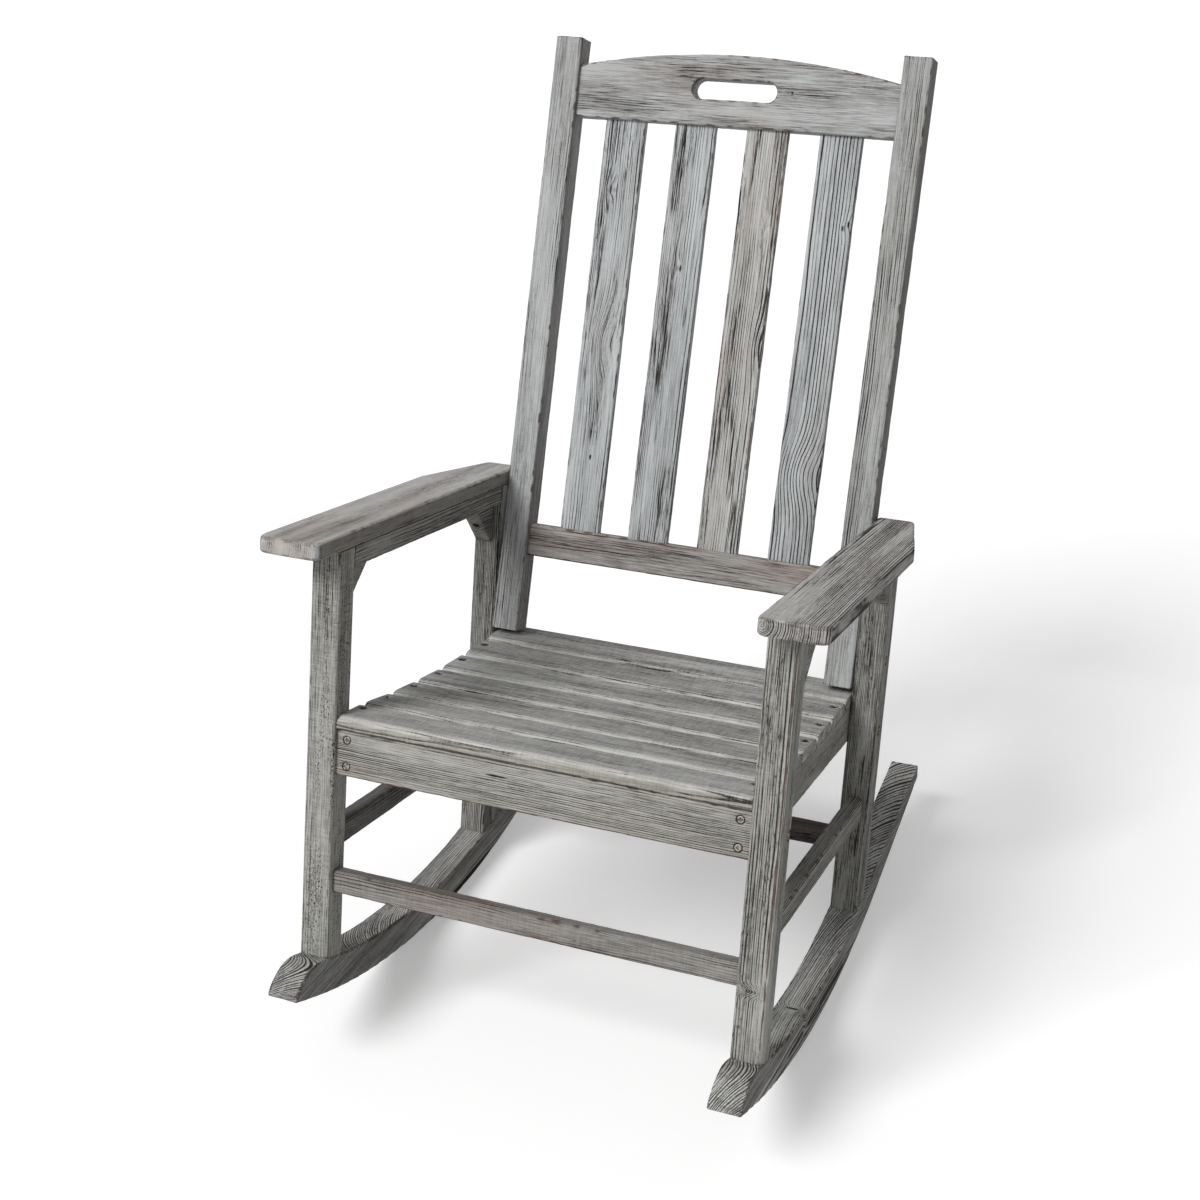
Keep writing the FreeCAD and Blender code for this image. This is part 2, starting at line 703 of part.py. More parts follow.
def build_arm(side):
    """Flat arm with rounded front corners, narrowed behind its kink."""
    front = -S.arm_front_reach
    rear = rear_leg_rear + S.arm_rear_reach
    wide = seat_half + S.arm_width
    narrow = seat_half + S.arm_rear_width
    corners = [
        (seat_half * side, front),
        (wide * side, front),
        (wide * side, rear_leg_front - S.arm_kink_reach),
        (narrow * side, rear),
        (seat_half * side, rear),
    ]
    body = new_body(f"arm_{SIDE_NAMES[side]}")
    sketch = new_sketch(body, "outline", "XY_Plane", (0, 0, S.arm_underside))
    draw_outline(sketch, corners)
    blank = pad(body, "blank", sketch, S.arm_thick)
    ahead = float(front) / 2
    behind = float(rear_leg_front)
    corners_done = ease(body, "front_corners", blank, S.arm_front_round,
                        lambda edge: runs(edge, "z") and middle(edge).y < ahead)
    corners_done = ease(body, "rear_corners", corners_done, S.arm_rear_round,
                        lambda edge: runs(edge, "z") and middle(edge).y > behind)
    levels = (float(S.arm_underside), float(S.arm_underside + S.arm_thick))
    ease(body, "rounded_edges", corners_done, S.arm_edge,
         lambda edge: not runs(edge, "z") and min(abs(middle(edge).z - level) for level in levels) < TOUCHING)
    for end, back in peg_middles.items():
        start = S.arm_underside - S.cut_overrun
        place = along(vector(leg_middle * side, back, start), Vector(0, 0, 1))
        depth = S.cut_overrun + S.arm_peg_depth + S.peg_clearance
        bore(body, f"{end}_peg_hole", place, S.arm_peg_radius + S.peg_clearance, depth)
    return keep(body, rest)


def build_arm_rail(side):
    """Rail under an arm, between the front and the rear leg."""
    spans = mirrored(side, seat_half, seat_half + S.arm_rail_width)
    box = Box(spans, (S.front_leg_depth, rear_leg_front), (arm_rail_underside, S.arm_underside))
    body = new_body(f"arm_rail_{SIDE_NAMES[side]}")
    blank = box_pad(body, "blank", box)
    halfway = float(arm_rail_underside + S.arm_rail_height / 2)
    ease(body, "rounded_edges", blank, S.board_edge,
         lambda edge: runs(edge, "y") and middle(edge).z < halfway)
    for end in peg_middles:
        bore_block_screw(body, side, end)
    return keep(body, rest)


# Seat

slat_run = rear_leg_rear + S.seat_reach - S.scoop_back - S.front_slat_gap / 2
slat_width = (slat_run - S.slat_gap * (SEAT_SLATS - 2)) / (SEAT_SLATS - 1)
front_rail_top = rail_height(S.scoop_back) + (S.scoop_back - apron_back) * S.front_slope_share
side_rail_inner = seat_half - S.side_rail_thick
rear_rail_rear = rear_leg_rear - S.rear_rail_inset
rear_rail_front = rear_rail_rear - S.rear_rail_thick
rear_rail = Box((-side_rail_inner, side_rail_inner), (rear_rail_front, rear_rail_rear),
                (apron_underside, rail_height(rear_rail_front)))


def rear_rail_tenon(side):
    """Tenon of the rear seat rail in a side rail."""
    play = (S.rear_rail_thick - S.rear_tenon_thick) / 2
    low = apron_underside + S.rear_tenon_rise
    spans = mirrored(side, side_rail_inner, side_rail_inner + S.rear_tenon_length)
    return Box(spans, (rear_rail_front + play, rear_rail_rear - play), (low, low + S.rear_tenon_height))


def slat_placements():
    """Place of each seat slat: its lower front edge on the rail, its width along the rail."""
    slope = math.atan(float(S.front_slope_share))
    front_rear = S.scoop_back - S.front_slat_gap / 2
    rear_height = float(rail_height(S.scoop_back) + S.front_slat_gap / 2 * S.front_slope_share)
    width = float(S.front_slat_width)
    front_y = float(front_rear) - width * math.cos(slope)
    front_z = rear_height + width * math.sin(slope)
    places = [Placement(Vector(0, front_y, front_z), Rotation(Vector(1, 0, 0), -math.degrees(slope)))]
    radius = float(rail_radius)
    center_y, center_z = (float(size) for size in rail_center)
    chord = 2 * math.asin(float(slat_width) / 2 / radius)
    gap = float(S.slat_gap) / radius
    first = float(S.scoop_back + S.front_slat_gap / 2 - S.seat_low_back)
    angle = math.asin(first / radius)
    for _ in range(SEAT_SLATS - 1):
        edge = Vector(0, center_y + radius * math.sin(angle), center_z - radius * math.cos(angle))
        turned = Rotation(Vector(1, 0, 0), math.degrees(angle + chord / 2))
        places.append(Placement(edge, turned))
        angle += chord + gap
    return places


slat_places = slat_placements()
slat_widths = [S.front_slat_width] + [slat_width] * (SEAT_SLATS - 1)


def slat_screw_places(number):
    """Two screws of a seat slat in the slat's own layout, Z pointing out of the wood."""
    back = slat_widths[number] * (S.slat_screw_share if number else S.front_screw_share)
    seat = S.slat_thick - S.slat_screw_drop - S.screw_head_height
    near = seat_half - S.slat_screw_inset
    return {side: Placement(vector(near * side, back, seat), Rotation()) for side in (LEFT, RIGHT)}


def build_seat_slat(number):
    """Seat slat with full round upper edges and a sunk screw hole near each end."""
    width = slat_widths[number]
    half = seat_half - S.slat_end_play
    body = new_body(f"seat_slat_{number + 1}")
    blank = box_pad(body, "blank", Box((-half, half), (0, width), (0, S.slat_thick)))
    above = float(S.slat_thick / 2)
    ease(body, "rounded_edges", blank, S.slat_round,
         lambda edge: runs(edge, "x") and middle(edge).z > above)
    for side, place in slat_screw_places(number).items():
        name = SIDE_NAMES[side]
        foot = place.multiply(Placement(vector(0, 0, -S.slat_thick), Rotation()))
        radius = S.screw_shank_radius + S.shank_clearance
        bore(body, f"{name}_screw_hole", foot, radius, S.slat_thick * 2)
        depth = S.screw_head_height + S.slat_screw_drop + S.cut_overrun
        bore(body, f"{name}_head_seat", place, S.screw_head_radius + S.head_clearance, depth)
    return keep(body, rest.multiply(slat_places[number]))


def apron_screw_places():
    """Screws of the apron, Z pointing out of its front face."""
    seat = S.apron_recess + S.apron_screw_drop + S.screw_head_height
    heights = (apron_underside + S.apron_screw_low, front_rail_top - S.apron_screw_high)
    near = seat_half - S.apron_screw_inset
    return [(side, along(vector(near * side, seat, height), Vector(0, -1, 0)))
            for side in (LEFT, RIGHT) for height in heights]


def build_side_rail(side):
    """Seat side rail: flat at the front, then dipped to the seat's curve."""
    corners = [
        (apron_back, side_rail_underside),
        (rear_leg_rear, side_rail_underside),
        (rear_leg_rear, rail_height(rear_leg_rear)),
        (S.scoop_back, rail_height(S.scoop_back)),
        (apron_back, front_rail_top),
    ]
    low, _ = mirrored(side, side_rail_inner, seat_half)
    body = new_body(f"seat_side_rail_{SIDE_NAMES[side]}")
    sketch = new_sketch(body, "outline", "YZ_Plane", (0, 0, low))
    draw_outline(sketch, corners, {2: (rail_center, rail_radius)})
    blank = pad(body, "blank", sketch, S.side_rail_thick)
    below = float(side_rail_underside + S.board_edge)
    ease(body, "rounded_edges", blank, S.board_edge,
         lambda edge: runs(edge, "y") and middle(edge).z < below)
    box_cut(body, "rear_rail_mortise", rear_rail_tenon(side).grown(S.joint_clearance))
    for end, spot in rail_bolt_spots.items():
        bore_bolt(body, f"{end}_bolt", bolt_place(side, *spot))
    for number, place in enumerate(slat_places):
        screw = place.multiply(slat_screw_places(number)[side])
        foot = screw.multiply(Placement(vector(0, 0, -S.slat_screw_length), Rotation()))
        radius = S.screw_shank_radius + S.shank_clearance
        bore(body, f"slat_screw_hole_{number + 1}", foot, radius, S.slat_screw_length)
    screws = [place for screw_side, place in apron_screw_places() if screw_side == side]
    for number, place in enumerate(screws, start=1):
        foot = place.multiply(Placement(vector(0, 0, -S.apron_screw_length), Rotation()))
        radius = S.screw_shank_radius + S.shank_clearance
        bore(body, f"apron_screw_hole_{number}", foot, radius, S.apron_screw_length)
    return keep(body, rest)


def build_apron():
    """Front apron between the front legs."""
    box = Box((-seat_half, seat_half), (S.apron_recess, apron_back), (apron_underside, front_rail_top))
    body = board("front_apron", box, "x", S.board_edge)
    for number, (_, place) in enumerate(apron_screw_places(), start=1):
        foot = place.multiply(Placement(vector(0, 0, -S.apron_thick), Rotation()))
        radius = S.screw_shank_radius + S.shank_clearance
        bore(body, f"screw_hole_{number}", foot, radius, S.apron_thick * 2)
        depth = S.screw_head_height + S.apron_screw_drop + S.cut_overrun
        bore(body, f"head_seat_{number}", place, S.screw_head_radius + S.head_clearance, depth)
    return keep(body, rest)


def build_rear_rail():
    """Rear seat rail, tenoned into the side rails."""
    body = new_body("rear_seat_rail")
    blank = box_pad(body, "blank", rear_rail)
    halfway = float((rear_rail.z[0] + rear_rail.z[1]) / 2)
    ease(body, "rounded_edges", blank, S.board_edge,
         lambda edge: runs(edge, "x") and middle(edge).z < halfway)
    for side, name in SIDE_NAMES.items():
        box_pad(body, f"{name}_tenon", rear_rail_tenon(side))
    return keep(body, rest)


def build_stretcher(label, box, axis):
    """Stretcher with a tenon at each end."""
    body = board(label, box, axis, S.stretcher_edge)
    for name, direction in (("first_tenon", LEFT), ("second_tenon", RIGHT)):
        box_pad(body, name, stretcher_tenon(box, axis, direction))
    return keep(body, rest)


# Back frame, laid out from the posts' lower front corner with Z along the posts

crest_underside = S.post_length - S.crest_drop
crest_box = Box((-post_inner, post_inner), (S.crest_recess, S.crest_recess + S.crest_thick),
                (crest_underside, crest_underside + S.crest_end_height))
lower_rail_box = Box((-post_inner, post_inner),
                     (S.lower_rail_recess, S.lower_rail_recess + S.lower_rail_thick),
                     (S.lower_rail_underside, S.lower_rail_underside + S.lower_rail_height))


def back_tenon(box, side, sizes):
    """Tenon of a back rail in a post, with its length, thickness and height."""
    length, thick, height = sizes
    shoulder = (box.y[1] - box.y[0] - thick) / 2
    step = (box.z[1] - box.z[0] - height) / 2
    return tenon_of(box, ("x", side), step, shoulder, length)


def crest_tenon(side):
    """Tenon of the crest rail."""
    return back_tenon(crest_box, side, (S.crest_tenon_length, S.crest_tenon_thick, S.crest_tenon_height))


def lower_tenon(side):
    """Tenon of the lower back rail."""
    return back_tenon(lower_rail_box, side, (S.lower_tenon_length, S.lower_tenon_thick, S.lower_tenon_height))


def back_slat_box(number):
    """Back slat from groove to groove, evenly spaced between the posts."""
    gap = (post_inner * 2 - S.back_slat_width * BACK_SLATS) / (BACK_SLATS + 1)
    low = -post_inner + gap * (number + 1) + S.back_slat_width * number
    depth = (S.back_slat_recess, S.back_slat_recess + S.back_slat_thick)
    foot = lower_rail_box.z[1] - S.back_slat_groove
    return Box((low, low + S.back_slat_width), depth, (foot, crest_underside + S.back_slat_groove))


def build_post(side):
    """Square back post with mortises for the two back rails."""
    box = Box(mirrored(side, post_inner, seat_half), (0, S.post_depth), (0, S.post_length))
    body = new_body(f"back_post_{SIDE_NAMES[side]}")
    blank = box_pad(body, "blank", box)
    eased = ease(body, "rounded_edges", blank, S.post_edge, lambda edge: runs(edge, "z"))
    top = float(S.post_length)
    ease(body, "eased_end", eased, S.post_end_edge, lambda edge: abs(middle(edge).z - top) < TOUCHING)
    box_cut(body, "crest_mortise", crest_tenon(side).grown(S.joint_clearance))
    box_cut(body, "lower_mortise", lower_tenon(side).grown(S.joint_clearance))
    bore_bolt(body, "post_bolt", back_place.inverse().multiply(bolt_place(side, *post_bolt_spot)))
    return keep(body, back_rest)


def build_crest():
    """Crest rail with an arched top, a hand slot and the back slats' grooves."""
    rise = S.crest_arch
    radius = (post_inner * post_inner + rise * rise) / (rise * 2)
    end_height = crest_box.z[1]
    corners = [
        (-post_inner, crest_underside),
        (post_inner, crest_underside),
        (post_inner, end_height),
        (-post_inner, end_height),
    ]
    body = new_body("crest_rail")
    sketch = new_sketch(body, "outline", "XZ_Plane", (0, 0, -crest_box.y[1]))
    draw_outline(sketch, corners, {2: ((0, end_height + rise - radius), radius)})
    pad(body, "blank", sketch, S.crest_thick)
    slot_middle = crest_underside + S.slot_rise + S.slot_height / 2
    round_place = S.slot_width / 2 - S.slot_height / 2
    depth = (crest_box.y[0] - S.cut_overrun, crest_box.y[1] + S.cut_overrun)
    heights = (slot_middle - S.slot_height / 2, slot_middle + S.slot_height / 2)
    slot = box_cut(body, "slot", Box((-round_place, round_place), depth, heights))
    for side, name in SIDE_NAMES.items():
        place = along(vector(round_place * side, depth[0], slot_middle), Vector(0, 1, 0))
        slot = bore(body, f"slot_{name}_end", place, S.slot_height / 2, depth[1] - depth[0])
    edge_x = float(post_inner)
    ease(body, "rounded_edges", slot, S.board_edge,
         lambda edge: not runs(edge, "y") and abs(middle(edge).x) < edge_x * FACING)
    for side, name in SIDE_NAMES.items():
        box_pad(body, f"{name}_tenon", crest_tenon(side))
    groove_slats(body)
    return keep(body, back_rest)


def groove_slats(body):
    """Grooves of the four back slats in one of their rails."""
    for number in range(BACK_SLATS):
        box_cut(body, f"slat_groove_{number + 1}", back_slat_box(number).grown(S.joint_clearance))


def build_lower_rail():
    """Lower back rail with the back slats' grooves."""
    body = board("lower_back_rail", lower_rail_box, "x", S.board_edge)
    for side, name in SIDE_NAMES.items():
        box_pad(body, f"{name}_tenon", lower_tenon(side))
    groove_slats(body)
    return keep(body, back_rest)


# Fasteners


def turned_blank(label, corners, arcs=None):
    """Round fastener, turned from the right half of its section."""
    body = new_body(label)
    sketch = new_sketch(body, "section", "XZ_Plane", (0, 0, 0))
    draw_outline(sketch, corners, arcs)
    feature = body.newObject("PartDesign::Revolution", "turned")
    feature.Profile = sketch
    feature.ReferenceAxis = (sketch, ["V_Axis"])
    feature.Angle = 360
    doc.recompute()
    return body, feature


def screw_pattern(label, length):
    """Screw with a round flat head and a cross recess, its head's underside at zero."""
    corners = [
        (0, S.screw_head_height),
        (S.screw_head_radius, S.screw_head_height),
        (S.screw_head_radius, 0),
        (S.screw_shank_radius, 0),
        (S.screw_shank_radius, -length),
        (0, -length),
    ]
    body, turned = turned_blank(label, corners)
    head = float(S.screw_head_height)
    ease(body, "eased_head", turned, S.head_edge,
         lambda edge: abs(edge.CenterOfMass.z - head) < TOUCHING and edge.Closed)
    half, arm = S.cross_width / 2, S.cross_length / 2
    floor = (S.screw_head_height - S.cross_depth, S.screw_head_height + S.cross_depth)
    box_cut(body, "cross_first", Box((-half, half), (-arm, arm), floor))
    box_cut(body, "cross_second", Box((-arm, arm), (-half, half), floor))
    return body


def bolt_pattern(label):
    """Bolt with a domed head and a six-sided socket, its head's underside at zero."""
    rise = S.bolt_head_height - S.bolt_rim
    dome = (S.bolt_head_radius * S.bolt_head_radius + rise * rise) / (rise * 2)
    corners = [
        (0, S.bolt_head_height),
        (S.bolt_head_radius, S.bolt_rim),
        (S.bolt_head_radius, 0),
        (S.bolt_shank_radius, 0),
        (S.bolt_shank_radius, -bolt_length),
        (0, -bolt_length),
    ]
    body, _ = turned_blank(label, corners, {0: ((0, S.bolt_head_height - dome), dome)})
    sketch = new_sketch(body, "socket_outline", "XY_Plane", (0, 0, S.bolt_head_height - S.bolt_socket_depth))
    corners = []
    for number in range(6):
        angle = math.radians(60 * number)
        corners.append((S.bolt_socket_radius * math.cos(angle), S.bolt_socket_radius * math.sin(angle)))
    draw_outline(sketch, corners)
    pocket(body, "socket", sketch, S.bolt_socket_depth + S.cut_overrun)
    return body


def fastener_group(label, pattern, places):
    """One node of like fasteners, each a copy of the pattern at its place."""
    copies = []
    for place in places:
        copy = pattern.Shape.copy()
        copy.Placement = place.multiply(pattern.Shape.Placement)
        copies.append(copy)
    group = doc.addObject("Part::Feature", label)
    group.Label = label
    group.Shape = Part.makeCompound(copies)
    return keep(group, rest)


def build_fasteners():
    """All screws and bolts, in groups of a kind."""
    sides = (LEFT, RIGHT)
    ends = ("front", "rear")
    apron = [place for _, place in apron_screw_places()]
    fastener_group("apron_screws", screw_pattern("apron_screw", S.apron_screw_length), apron)
    slats = [slat_places[number].multiply(place)
             for number in range(SEAT_SLATS) for place in slat_screw_places(number).values()]
    fastener_group("slat_screws", screw_pattern("slat_screw", S.slat_screw_length), slats)
    blocks = [block_screw_place(side, end) for side in sides for end in ends]
    fastener_group("block_screws", screw_pattern("block_screw", S.block_screw_length), blocks)
    bolt = bolt_pattern("bolt")
    rails = [bolt_place(side, *spot) for side in sides for spot in rail_bolt_spots.values()]
    fastener_group("rail_bolts", bolt, rails)
    fastener_group("post_bolts", bolt, [bolt_place(side, *post_bolt_spot) for side in sides])


def build_chair():
    """Every piece of the chair."""
    for side, name in SIDE_NAMES.items():
        build_rocker(side)
        for end in ("front", "rear"):
            build_leg(side, end)
            build_block(side, end)
        build_arm(side)
        build_arm_rail(side)
        build_side_rail(side)
        build_stretcher(f"side_stretcher_{name}", side_stretcher_box(side), "y")
        build_post(side)
    build_apron()
    build_rear_rail()
    for number in range(SEAT_SLATS):
        build_seat_slat(number)
    build_stretcher("front_stretcher", front_stretcher, "x")
    build_stretcher("rear_stretcher", rear_stretcher, "x")
    build_crest()
    build_lower_rail()
    for number in range(BACK_SLATS):
        keep(board(f"back_slat_{number + 1}", back_slat_box(number), "z", S.back_slat_edge), back_rest)
    build_fasteners()


def check_document():
    """Stops when an object failed or a piece has no sound shape."""
    for item in doc.Objects:
        if {"Invalid", "Error"} & set(item.State):
            raise RuntimeError(f"{item.Label} failed: {item.State}")
    for label, (piece, _) in pieces.items():
        if piece.Shape.isNull() or not piece.Shape.isValid():
            raise RuntimeError(f"{label} has no sound shape")


def write_pieces():
    """One STEP file for each piece."""
    os.makedirs("parts", exist_ok=True)
    for label, (piece, _) in pieces.items():
        piece.Shape.exportStep(f"parts/{label}.step")


build_chair()
for piece, place in pieces.values():
    piece.Placement = place
doc.recompute()
check_document()
write_pieces()

whole = FreeCAD.BoundBox()
for piece, _ in pieces.values():
    whole.add(piece.Shape.optimalBoundingBox(False, False))
solids = sum(len(piece.Shape.Solids) for piece, _ in pieces.values())
print(f"{len(pieces)} pieces, {solids} solids")
print(f"box {whole.XLength:.3f} x {whole.YLength:.3f} x {whole.ZLength:.3f} mm")
print(f"from {whole.XMin:.3f} {whole.YMin:.3f} {whole.ZMin:.3f}")
print(f"to {whole.XMax:.3f} {whole.YMax:.3f} {whole.ZMax:.3f}")
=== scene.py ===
"""Porch rocking chair of washed boards, dressed around its packed construction.

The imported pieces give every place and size. This script builds the weathered surface of each board, the
finish of the metal, the studio and the camera. All lengths are in metres.
"""
import logging
import math
from dataclasses import dataclass, field, replace
from enum import Enum

import bmesh
import bpy
from mathutils import Euler, Matrix, Vector, noise
from mathutils.kdtree import KDTree


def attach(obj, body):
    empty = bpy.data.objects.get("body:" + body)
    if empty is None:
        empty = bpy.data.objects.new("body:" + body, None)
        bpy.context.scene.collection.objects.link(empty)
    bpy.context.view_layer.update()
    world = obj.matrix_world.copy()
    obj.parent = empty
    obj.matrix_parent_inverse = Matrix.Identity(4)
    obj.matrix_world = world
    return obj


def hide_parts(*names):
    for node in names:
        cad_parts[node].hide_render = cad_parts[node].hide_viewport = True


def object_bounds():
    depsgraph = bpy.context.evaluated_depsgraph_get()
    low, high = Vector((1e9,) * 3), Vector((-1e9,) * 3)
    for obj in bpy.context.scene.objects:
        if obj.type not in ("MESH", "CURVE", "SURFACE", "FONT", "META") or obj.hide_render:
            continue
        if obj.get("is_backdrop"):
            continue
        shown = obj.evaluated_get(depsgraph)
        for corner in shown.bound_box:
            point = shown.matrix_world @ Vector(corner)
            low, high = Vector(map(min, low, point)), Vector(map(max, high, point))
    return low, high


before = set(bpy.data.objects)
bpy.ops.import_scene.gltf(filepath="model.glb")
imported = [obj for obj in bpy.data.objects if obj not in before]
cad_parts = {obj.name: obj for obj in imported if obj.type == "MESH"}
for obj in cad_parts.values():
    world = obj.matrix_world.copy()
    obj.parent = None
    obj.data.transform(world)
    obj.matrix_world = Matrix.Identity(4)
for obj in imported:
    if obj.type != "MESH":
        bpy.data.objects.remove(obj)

logging.basicConfig(level=logging.INFO, format="%(message)s")
log = logging.getLogger("chair")

BODY = "root"
REACH = "arris_reach"
LEAN = math.radians(10.0)
BACK_LEAN = math.radians(17.85)
SIDES = ("left", "right")

Socket = bpy.types.NodeSocket
Sockets = dict[str, Socket]
Values = dict[str | int, object]
Triple = tuple[float, float, float]
Pair = tuple[float, float]


def tone(red: int, green: int, blue: int) -> Triple:
    """Turns a screen colour into the linear colour that shaders use.

    Args:
        red: Red from 0 to 255.
        green: Green from 0 to 255.
        blue: Blue from 0 to 255.

    Returns:
        The linear colour.
    """
    return tuple((part / 255.0 + 0.055) ** 2.4 / 1.055 ** 2.4 for part in (red, green, blue))


def save_bounds(name: str, sizes: dict[str, list[list[float]]]) -> None:
    """Args:
        name: What the box is called.
        sizes: The boxes kept so far, which gain this one.
    """
    sizes[name] = [list(corner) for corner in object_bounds()]


class Grain(Enum):
    """Direction of the wood's grain in the chair's layout before it leans back."""

    ACROSS = "across"
    DEEP = "deep"
    UP = "up"


@dataclass(frozen=True)
class WashedFinish:
    """Worn grey wash over brown wood.

    The shares go from 0 to 1, and the runs are repeats in a metre along the grain.
    """

    pale: Triple = tone(180, 181, 179)
    middle: Triple = tone(136, 136, 133)
    dark: Triple = tone(38, 35, 32)
    warm: Triple = tone(146, 132, 120)
    edge_color: Triple = tone(70, 57, 50)
    edge: float = 0.8
    edge_width: float = 0.0008
    end: float = 1.0
    wear: float = 0.0
    rings: float = 0.7
    cracks: float = 0.7
    crack_run: float = 30.0
    fibres: float = 0.28
    pores: float = 0.7
    pore_run: float = 110.0
    patches: float = 0.25
    saw: float = 0.12
    tint: float = 0.2
    cover: float = 0.5
    ring_width: float = 0.0024
    ring_line: float = 0.0006
    wander: float = 0.008
    relief: float = 0.0007
    roughness: float = 0.84
    gloss: float = 0.25

    def shade(self, pale: Triple, middle: Triple, **changes: object) -> "WashedFinish":
        """The same wash in another depth."""
        return replace(self, pale=pale, middle=middle, **changes)


SHARES = ("rings", "cracks", "fibres", "pores", "patches", "saw", "tint", "edge", "end", "cover")

SLAT = WashedFinish(tone(186, 189, 190), tone(140, 142, 143), rings=0.85, wander=0.009, cracks=1.0,
                    crack_run=12.0, pores=0.4, saw=0.04, tint=0.15, ring_width=0.0028)
DULL_SLAT = SLAT.shade(tone(184, 187, 188), tone(136, 138, 139))
STRIPED_SLAT = replace(SLAT, ring_width=0.0044, ring_line=0.0009, rings=1.0, cracks=0.3, pores=0.2,
                       cover=0.38, wander=0.006)
RED_SLAT = SLAT.shade(tone(190, 191, 190), tone(144, 142, 138), warm=tone(136, 118, 105), tint=0.35,
                      edge_width=0.0016, edge_color=tone(72, 46, 38))
POST = SLAT.shade(tone(178, 180, 180), tone(138, 139, 138), rings=0.8, cracks=0.4, cover=0.53, saw=0.07,
                  pores=0.3, fibres=0.34, ring_width=0.002, tint=0.12)
DULL_POST = POST.shade(tone(170, 172, 171), tone(130, 131, 129))
# Darker copies of the post washes for the posts' sides: painted shade, lighter on the left post than on the
# right.
POST_SHADED_SIDE = POST.shade(tone(158, 157, 156), tone(118, 117, 116))
DULL_POST_SHADED_SIDE = POST.shade(tone(128, 127, 126), tone(88, 87, 86))
CREST = SLAT.shade(tone(178, 180, 180), tone(136, 135, 133), rings=0.5, cracks=0.5, pores=0.2, cover=0.55,
                   fibres=0.42, patches=0.45, tint=0.3, warm=tone(140, 129, 121))
LOWER_RAIL = CREST.shade(tone(160, 158, 154), tone(120, 116, 111), warm=tone(116, 88, 77), tint=0.45,
                         rings=0.6, cracks=0.7, fibres=0.5)
ARM = WashedFinish(tone(190, 188, 185), tone(146, 144, 141), rings=1.0, cover=0.44, cracks=0.5, crack_run=9.0,
                   pores=0.4, warm=tone(148, 134, 124), edge=0.5, edge_width=0.001, wander=0.005,
                   ring_width=0.0026, ring_line=0.001)
ARM_END = ARM.shade(tone(172, 170, 167), tone(128, 126, 123))
# Darker copy of the arm wash for the arm's sides: painted shade.
ARM_SHADED_SIDE = ARM.shade(tone(164, 162, 159), tone(116, 114, 111))
PALE_ARM = ARM.shade(tone(190, 188, 185), tone(152, 149, 146), rings=0.6, cracks=0.3, cover=0.58, tint=0.45,
                     end=0.3, patches=0.35)
# Darker copy of the pale arm wash for the left arm's sides: painted shade.
PALE_ARM_SHADED_SIDE = PALE_ARM.shade(tone(136, 134, 130), tone(92, 90, 86))
LEG = WashedFinish(tone(168, 168, 163), tone(120, 119, 114), rings=0.9, cracks=0.4, crack_run=20.0,
                   pores=0.6, pore_run=130.0, fibres=0.45, cover=0.48, ring_width=0.0018, wander=0.004,
                   saw=0.1, tint=0.1, ring_line=0.0005)
DOTTED_LEG = replace(LEG, rings=0.5, pores=1.0, pore_run=300.0, saw=0.2, cracks=0.3)
# Painted shade: the rear legs are washed darker, as they sit in the shade under the arms and the seat.
SHADED_REAR_LEG = LEG.shade(tone(154, 154, 150), tone(108, 107, 103), cracks=0.8)
SEAT = WashedFinish(tone(184, 184, 182), tone(136, 135, 132), rings=0.8, cracks=0.5, crack_run=8.0,
                    pores=0.25, pore_run=50.0, fibres=0.45, saw=0.16, warm=tone(146, 136, 126),
                    relief=0.0005, edge=0.5, ring_width=0.002)
FIRST_SEAT = replace(SEAT, cracks=0.15, rings=0.6, fibres=0.35)
# Painted highlight on the slats' round noses, and painted shade with a warmer beige tone on the first slat's
# flat front.
SEAT_LIT_NOSE = SEAT.shade(tone(196, 196, 192), tone(160, 158, 152))
SEAT_SHADED_FRONT = SEAT.shade(tone(168, 166, 158), tone(130, 127, 119))
APRON = WashedFinish(tone(172, 171, 165), tone(128, 126, 119), cover=0.46, fibres=0.4, saw=0.06, tint=0.15,
                     rings=0.8, cracks=0.4, crack_run=10.0, pores=0.3)
STRETCHER = WashedFinish(tone(148, 146, 142), tone(108, 105, 101), rings=0.8, cover=0.48, cracks=0.4,
                         crack_run=9.0, pores=0.3, warm=tone(116, 91, 80), tint=0.4)
ROCKER = WashedFinish(tone(190, 190, 187), tone(130, 129, 126), rings=1.0, cracks=0.4, cover=0.42,
                      crack_run=10.0, pores=0.3, ring_width=0.0015, ring_line=0.0005, wander=0.002,
                      edge_width=0.0012, saw=0.05, tint=0.1)
FLOWING_ROCKER = ROCKER.shade(tone(200, 200, 197), tone(140, 139, 136), ring_width=0.0024, ring_line=0.0009,
                              wander=0.006, cover=0.36)
# Darker copy of the rocker wash for the rockers' sides: painted shade.
ROCKER_SHADED_SIDE = ROCKER.shade(tone(178, 178, 175), tone(120, 119, 116))
RAIL = WashedFinish(tone(154, 153, 149), tone(108, 107, 103), cover=0.45, wear=0.05, rings=0.9, cracks=0.5,
                    crack_run=10.0, pores=0.3)
SHADED_RAIL = RAIL.shade(tone(118, 117, 113), tone(78, 77, 74))
DARK_RAIL = WashedFinish(tone(86, 80, 76), tone(56, 51, 47))


@dataclass(frozen=True)
class Face:
    """Faces of a board that hold another depth of wash: painted shade on the sides of posts, arms and rockers
    and on the first seat slat's front, a painted highlight on the seat noses, and a darker front end on the
    right arm.
    """

    way: Triple
    finish: WashedFinish
    opposite: bool = True


@dataclass(frozen=True)
class Stripe:
    """Line beside one arris: bare wood where the wash is gone, or a painted shadow along a seam."""

    way: Triple
    inset: float = 0.0012
    width: float = 0.0016
    color: Triple = tone(84, 48, 40)


UNDER = Stripe((0.0, 0.0, -1.0))
